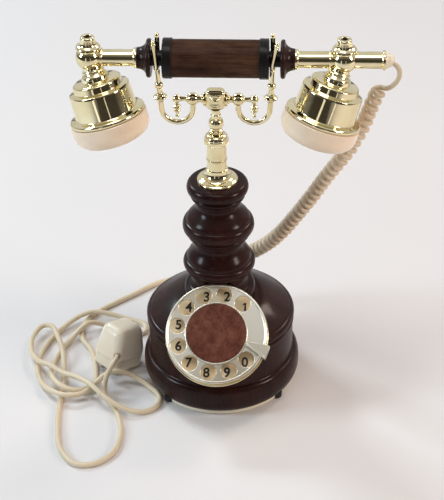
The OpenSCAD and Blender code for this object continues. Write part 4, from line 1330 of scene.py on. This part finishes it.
@dataclass
class Handset(Assembly):
    """The handset: grip, tubes, ball joints and the two cups."""

    axis_z: float = 283.3
    shift_x: float = 1.0
    grip_r: float = 13.8
    grip_half: float = 31.3
    collar_r: float = 14.7
    collar_end: float = 38.0
    core_r: float = 5.8
    cap_start: float = 46.2
    cap_end: float = 56.5
    tube_r: float = 6.1
    tube_end: float = 120.8
    boot_r: float = 5.2
    ball_x: float = 91.4
    ball_r: float = 9.6
    cup_r: float = 23.0
    ear_cap_r: float = 28.6
    lean: float = 10.0
    tilt: dict[Side, float] = field(default_factory=lambda: {Side.LEFT: -15.5, Side.RIGHT: 18.5})

    def lying(self, side: Side) -> Matrix:
        """Returns the frame whose Z runs outward along the handset."""
        return move(self.shift_x, 0, self.axis_z) @ turn(90 * side.value, "Y")

    def at_ball(self, side: Side) -> Matrix:
        """Returns the upright frame at a ball joint's middle."""
        return move(self.shift_x + side.value * self.ball_x, 0, self.axis_z)

    def at_cup(self, side: Side) -> Matrix:
        """Returns the frame whose Z runs from the ball joint down through the cup."""
        return self.at_ball(side) @ turn(-self.lean, "X") @ turn(self.tilt[side], "Y") @ turn(180, "X")

    def pair(self, name: str, outline: Sequence[Point2], ring: bool = False) -> Piece:
        """Turns the same piece for both ends of the handset."""
        return merged(name, [turned(f"{name}_{s.name}", outline, self.lying(s), ring=ring) for s in Side])

    def grip(self) -> None:
        """Makes the grip, its core, collars and bell caps."""
        g, c, inner, lying = self.grip_half, self.collar_r, self.core_r + 0.1, self.lying(Side.RIGHT)
        sleeve = [(inner, -g), (self.grip_r, -g), (self.grip_r, g), (inner, g)]
        self.dress(turned("wood_sleeve", sleeve, lying, ring=True), GRIP_WOOD, Body.HANDSET, "grip_sleeve")
        core = [(0, -48.5), (self.core_r, -48.5), (self.core_r, 48.5), (0, 48.5)]
        self.dress(turned("neck_core", core, lying, 64), BLACK, Body.HANDSET, "grip_core")
        e = self.collar_end
        collar = soft([(inner, g, 0), (c, g, 0.5), (c, e, 0.8), (inner, e, 0)])
        self.dress(self.pair("end_collars", collar, ring=True), BLACK, Body.HANDSET, "grip_collars")
        a, b = self.cap_start, self.cap_end
        bell = [
            (inner, a), (11.4, a), *arc((12.3, a + 1.8), (1.9, 1.8), -80, 50, 18),
            *arc((13.4, b - 0.2), (-5.6, a + 3.6 - b), 88, 6, 20), (7.7, b), (0, b), (0, 48.5), (inner, 48.5),
        ]  # fmt: skip
        self.dress(self.pair("bell_ends", [*bell, bell[0]]), CAP_WOOD, Body.HANDSET, "bell_caps")

    def tubes(self) -> None:
        """Makes the tubes, ball joints, finials and the cord's boot."""
        b, t, x, ends = self.cap_end, self.tube_r, self.ball_x, []
        for side in Side:
            far, tail = x - 4, [(t, x - 4, 0)]
            if side is Side.RIGHT:
                far = self.tube_end
                tail = [(t, far - 2.4, 0.2), (7.3, far - 1.8, 0.4), (7.3, far, 0.4)]
            outline = soft([
                (4.6, b, 0), (7.5, b, 0.3), (7.6, b + 1.6, 0.5), (6.9, b + 2.4, 0.3), (t, b + 2.6, 0.1),
                (t, x - 10.3, 0.1), (6.9, x - 10, 0.3), (6.9, x - 8.9, 0.3), (t, x - 8.6, 0.1), *tail,
                (4.6, far, 0),
            ])  # fmt: skip
            ends.append(turned(f"tube_{side.name}", outline, self.lying(side), 80, ring=True))
        self.dress(merged("brass_tubes", ends), BRASS, Body.HANDSET, "handset_tubes")
        r, joints, tops = self.ball_r, [], []
        neck = soft([
            (0, 4, 0), (6.8, 6.6, 0.3), (7, 8.6, 0.4), (8, 9.4, 0.3), (8.3, 10.2, 0.3), (8, 10.8, 0.2),
            (0, 10.8, 0),
        ])  # fmt: skip
        finial = soft([
            (0, 5, 0), (7.4, 5.8, 0.5), (8.8, 7, 0.5), (9.1, 7.8, 0.4), (8.8, 8.9, 0.4), (7.8, 10, 0.5),
            (6.4, 10.6, 0.5), (5.8, 12, 0.6), (5.3, 14.8, 0.6), (5.2, 16, 0.4), (4.7, 16.8, 0.4),
            (2.8, 16.9, 0.1), (2.6, 16.6, 0.1), (2.6, 12.6, 0), (0, 12.6, 0),
        ])  # fmt: skip
        ball, top_hole_discs = arc((0, 0), (r, r), -90, 90, 40), []
        # Black discs sit in the holes at the finials' tops, almost level with the lip.
        disc = soft([(0, 12.7, 0), (2.55, 12.7, 0.1), (2.55, 15.6, 0.2), (0, 15.2, 0)])
        for side in Side:
            at, end = self.at_ball(side), side.name
            joints.append(turned(f"ball_{end}", ball, at, 72))
            joints.append(turned(f"neck_{end}", neck, self.at_cup(side), 64))
            tops.append(turned(f"finial_{end}", finial, at, 64))
            top_hole_discs.append(turned(f"dark_{end}", disc, at, 32))
        self.dress(merged("joint_balls", joints), BRASS, Body.HANDSET, "ball_joints")
        self.dress(merged("top_finials", tops), BRASS, Body.HANDSET, "finials")
        self.dress(merged("finial_screws", top_hole_discs), BLACK, Body.HANDSET)
        e, r = self.tube_end, self.boot_r
        boot = soft([(0, e, 0), (6.3, e, 0.2), (6.2, e + 1, 0.3), (5.6, e + 1.2, 0)])
        boot += arc((0, e + 1.5), (r, r), 5, 90, 24)
        self.dress(turned("cord_sleeve", boot, self.lying(Side.RIGHT), 56), CREAM, Body.HANDSET, "cord_boot")

    def cups(self) -> None:
        """Makes the brass cups and the cream ear caps with their sound holes."""
        c, e = self.cup_r, self.ear_cap_r
        shell = [
            (0, 10.8), (7.6, 10.8), *arc((5.8, 15), (4.2, 3.6), -55, 0, 14),
            *soft([
                (10, 15, 0), (10.2, 15.8, 0.2), (10.4, 16.8, 0.3), (16.6, 17.4, 0.3), (18, 18.2, 0.7),
                (18.2, 23, 0.3), (c - 1, 23.9, 0.2), (c - 0.5, 25, 0.6), (c, 42.4, 0.4), (c + 1.6, 43, 0.3),
            ]),
            *arc((c + 3.6, 45), (1.6, 1.8), -80, 90, 14),
            (21, 46.8), (21, 26), (16.4, 24.6), (16.4, 19.4), (0, 18.4),
        ]  # fmt: skip
        cap = [
            (21.2, 46.9), (e - 0.6, 46.9), (e, 47.5), (e, 52), *arc((e - 9, 54), (9, 10.4), 0, 84, 22),
            *soft([(18, 64, 0), (8, 63.6, 2), (0, 63.4, 0)]),
            (0, 61), (17, 61.4), (25.6, 54), (25.6, 49.4), (21.2, 49.4),
        ]  # fmt: skip
        shells, caps = [], []
        for side in Side:
            place = self.at_cup(side)
            shells.append(turned(f"shell_{side.name}", shell, place, 128))
            spots = [(6, k * 60) for k in range(6)] + [(12, k * 30) for k in range(12)]
            drill = [(0, 55), (1, 55), (1, 68), (0, 68)]
            drills = [
                turned(f"drill_{side.name}_{i}", drill, place @ turn(a, "Z") @ move(r, 0, 0), 16)
                for i, (r, a) in enumerate(spots)
            ]
            blank = turned(f"cap_{side.name}", [*cap, cap[0]], place, 128)
            caps.append(carved(blank, merged(f"drills_{side.name}", drills)))
        self.dress(merged("cup_bells", shells), BRASS, Body.HANDSET, "cup_shells")
        self.dress(merged("cream_caps", caps), PEACH, Body.HANDSET, "ear_caps")

    def build(self) -> None:
        """Makes the handset's pieces."""
        self.grip()
        self.tubes()
        self.cups()


# Studio


@dataclass
class Studio:
    """The floor, the lights and the camera."""

    aim: Point3 = (0.0, 0.0, 0.150)
    azimuth: float = 4.10
    elevation: float = 33.54
    roll: float = -1.37
    distance: float = 1.35807
    lens: float = 129.6
    shift: Point2 = (0.0076, -0.0716)

    def camera(self) -> None:
        """Sets the camera at the photograph's view."""
        az, el, roll = (math.radians(v) for v in (self.azimuth, self.elevation, self.roll))
        back = Vector((math.sin(az) * math.cos(el), -math.cos(az) * math.cos(el), math.sin(el)))
        right = Vector((math.cos(az), math.sin(az), 0))
        up = back.cross(right)
        x = right * math.cos(roll) + up * math.sin(roll)
        y = up * math.cos(roll) - right * math.sin(roll)
        data = bpy.data.cameras.new("photo_camera")
        data.lens = self.lens
        data.sensor_width = 36
        data.shift_x, data.shift_y = self.shift
        data.clip_start, data.clip_end = 0.05, 30
        camera = linked("photo_camera", data)
        place = Matrix((x, y, back)).transposed().to_4x4()
        place.translation = Vector(self.aim) + back * self.distance
        camera.matrix_world = place
        bpy.context.scene.camera = camera

    def floor(self) -> None:
        """Lays the pale floor."""
        shape = bmesh.new()
        bmesh.ops.create_grid(shape, x_segments=2, y_segments=2, size=4)
        mesh = bpy.data.meshes.new("floor")
        shape.to_mesh(mesh)
        shape.free()
        floor = linked("floor", mesh)
        sheet = NodeSheet(bpy.data.materials.new("pale_floor"))
        sheet.tint(sheet.noise(3, 3), "Fac", [(0.3, (0.81, 0.775, 0.77)), (0.7, (0.83, 0.795, 0.785))])
        sheet.set(Roughness=0.9, Specular_IOR_Level=0.1)
        mesh.materials.append(sheet.owner)

    def lamp(
        self, name: str, place: Point3, target: Point3, size: Point2, power: float, colour: Colour
    ) -> None:
        """Hangs one soft box.

        Args:
            name: The lamp's name.
            place: Where it hangs, in metres.
            target: What it faces.
            size: Its width and height.
            power: Its power in watts.
            colour: Its colour.
        """
        data = bpy.data.lights.new(name, "AREA")
        data.shape = "RECTANGLE"
        data.size, data.size_y = size
        data.energy = power
        data.color = colour
        lamp = linked(name, data)
        lamp.visible_camera = False
        lamp.location = place
        lamp.rotation_euler = (Vector(target) - Vector(place)).to_track_quat("-Z", "Y").to_euler()

    def lights(self) -> None:
        """Sets the soft boxes and the room's light."""
        cool, warm = (0.76, 0.91, 1.0), (1.0, 0.85, 0.74)
        self.lamp("left_back", (-1.0, 1.0, 1.3), (0, 0, 0.1), (0.35, 0.35), 12, cool)
        self.lamp("left_front", (-1.5, -0.5, 0.9), (0, 0, 0.1), (0.4, 0.6), 14, cool)
        self.lamp("right_back", (1.0, 1.0, 1.3), (0, 0, 0.1), (0.4, 0.4), 7, warm)
        self.lamp("right_front", (1.5, -0.5, 0.9), (0, 0, 0.1), (0.4, 0.6), 13, warm)
        self.lamp("top", (-0.15, -0.22, 2.0), (0, 0, 0.1), (1.1, 0.6), 9, (1.0, 0.98, 0.97))
        self.lamp("left_strip", (-0.5, -1.3, 0.35), (0, 0, 0.2), (0.16, 0.7), 0.35, (1.0, 0.99, 0.97))
        self.lamp("right_strip", (0.42, -1.3, 0.35), (0, 0, 0.2), (0.07, 0.7), 0.14, (1.0, 0.90, 0.84))
        self.room()

    def room(self) -> None:
        """Sets the room: dim light on the object, a pale back and top for metal to show, a dark front."""
        sheet = NodeSheet(bpy.data.worlds.new("room"))
        coords = sheet.add("ShaderNodeTexCoord")
        facing = sheet.add("ShaderNodeVectorMath", {1: (0.0, 0.8, 0.75)}, operation="DOT_PRODUCT")
        sheet.join(coords, "Generated", facing, 0)
        spread = sheet.add("ShaderNodeMapRange", {"From Min": -0.3, "From Max": 0.9})
        sheet.join(facing, "Value", spread, "Value")
        front, side = (0.05, 0.045, 0.04), (0.24, 0.225, 0.2)
        back, top = (0.6, 0.59, 0.57), (0.66, 0.66, 0.65)
        ramp = sheet.ramp(spread, "Result", [(0.0, front), (0.35, side), (0.7, back), (1.0, top)])
        path = sheet.add("ShaderNodeLightPath")
        seen, output = path, "Is Camera Ray"
        for ray in ("Is Glossy Ray", "Is Transmission Ray"):
            either = sheet.add("ShaderNodeMath", operation="MAXIMUM")
            sheet.join(seen, output, either, 0)
            sheet.join(path, ray, either, 1)
            seen, output = either, "Value"
        mix = sheet.add("ShaderNodeMix", data_type="RGBA")
        mix.inputs[MIX_A].default_value = (0.165, 0.167, 0.17, 1)
        sheet.join(seen, output, mix, "Factor")
        sheet.join(ramp, "Color", mix, MIX_B)
        sheet.join(mix, MIX_RESULT, sheet.shader, "Color")
        sheet.set(Strength=1.0)
        bpy.context.scene.world = sheet.owner

    def build(self) -> None:
        """Sets the whole studio."""
        self.camera()
        self.floor()
        self.lights()
        bpy.context.scene.view_settings.view_transform = "Standard"


def dress_frame(frame: dict[str, object]) -> None:
    """Gives every CAD node that still shows the finish of its material slot.
    """
    slots = {part["node"]: part["material_slot"] for part in frame["record"]["subparts"]}
    for name, node in frame["nodes"].items():
        node.data.materials.clear()
        node.data.materials.append(NODE_FINISHES[slots[name]].material())


def main() -> None:
    """Builds the telephone over its frame and reports the pieces."""
    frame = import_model()
    Studio().build()
    dress_frame(frame)
    place = DialPlace()
    for assembly in (Cords(), Stand(place), Dial(place), Cradle(), Handset()):
        assembly.build()
        for piece in assembly.made:
            LOG.info("%s: %s, %d faces", type(assembly).__name__, piece.name, len(piece.data.polygons))
    bpy.context.view_layer.update()


if __name__ == "__main__":
    logging.basicConfig(level=logging.INFO, format="%(message)s")
    main()
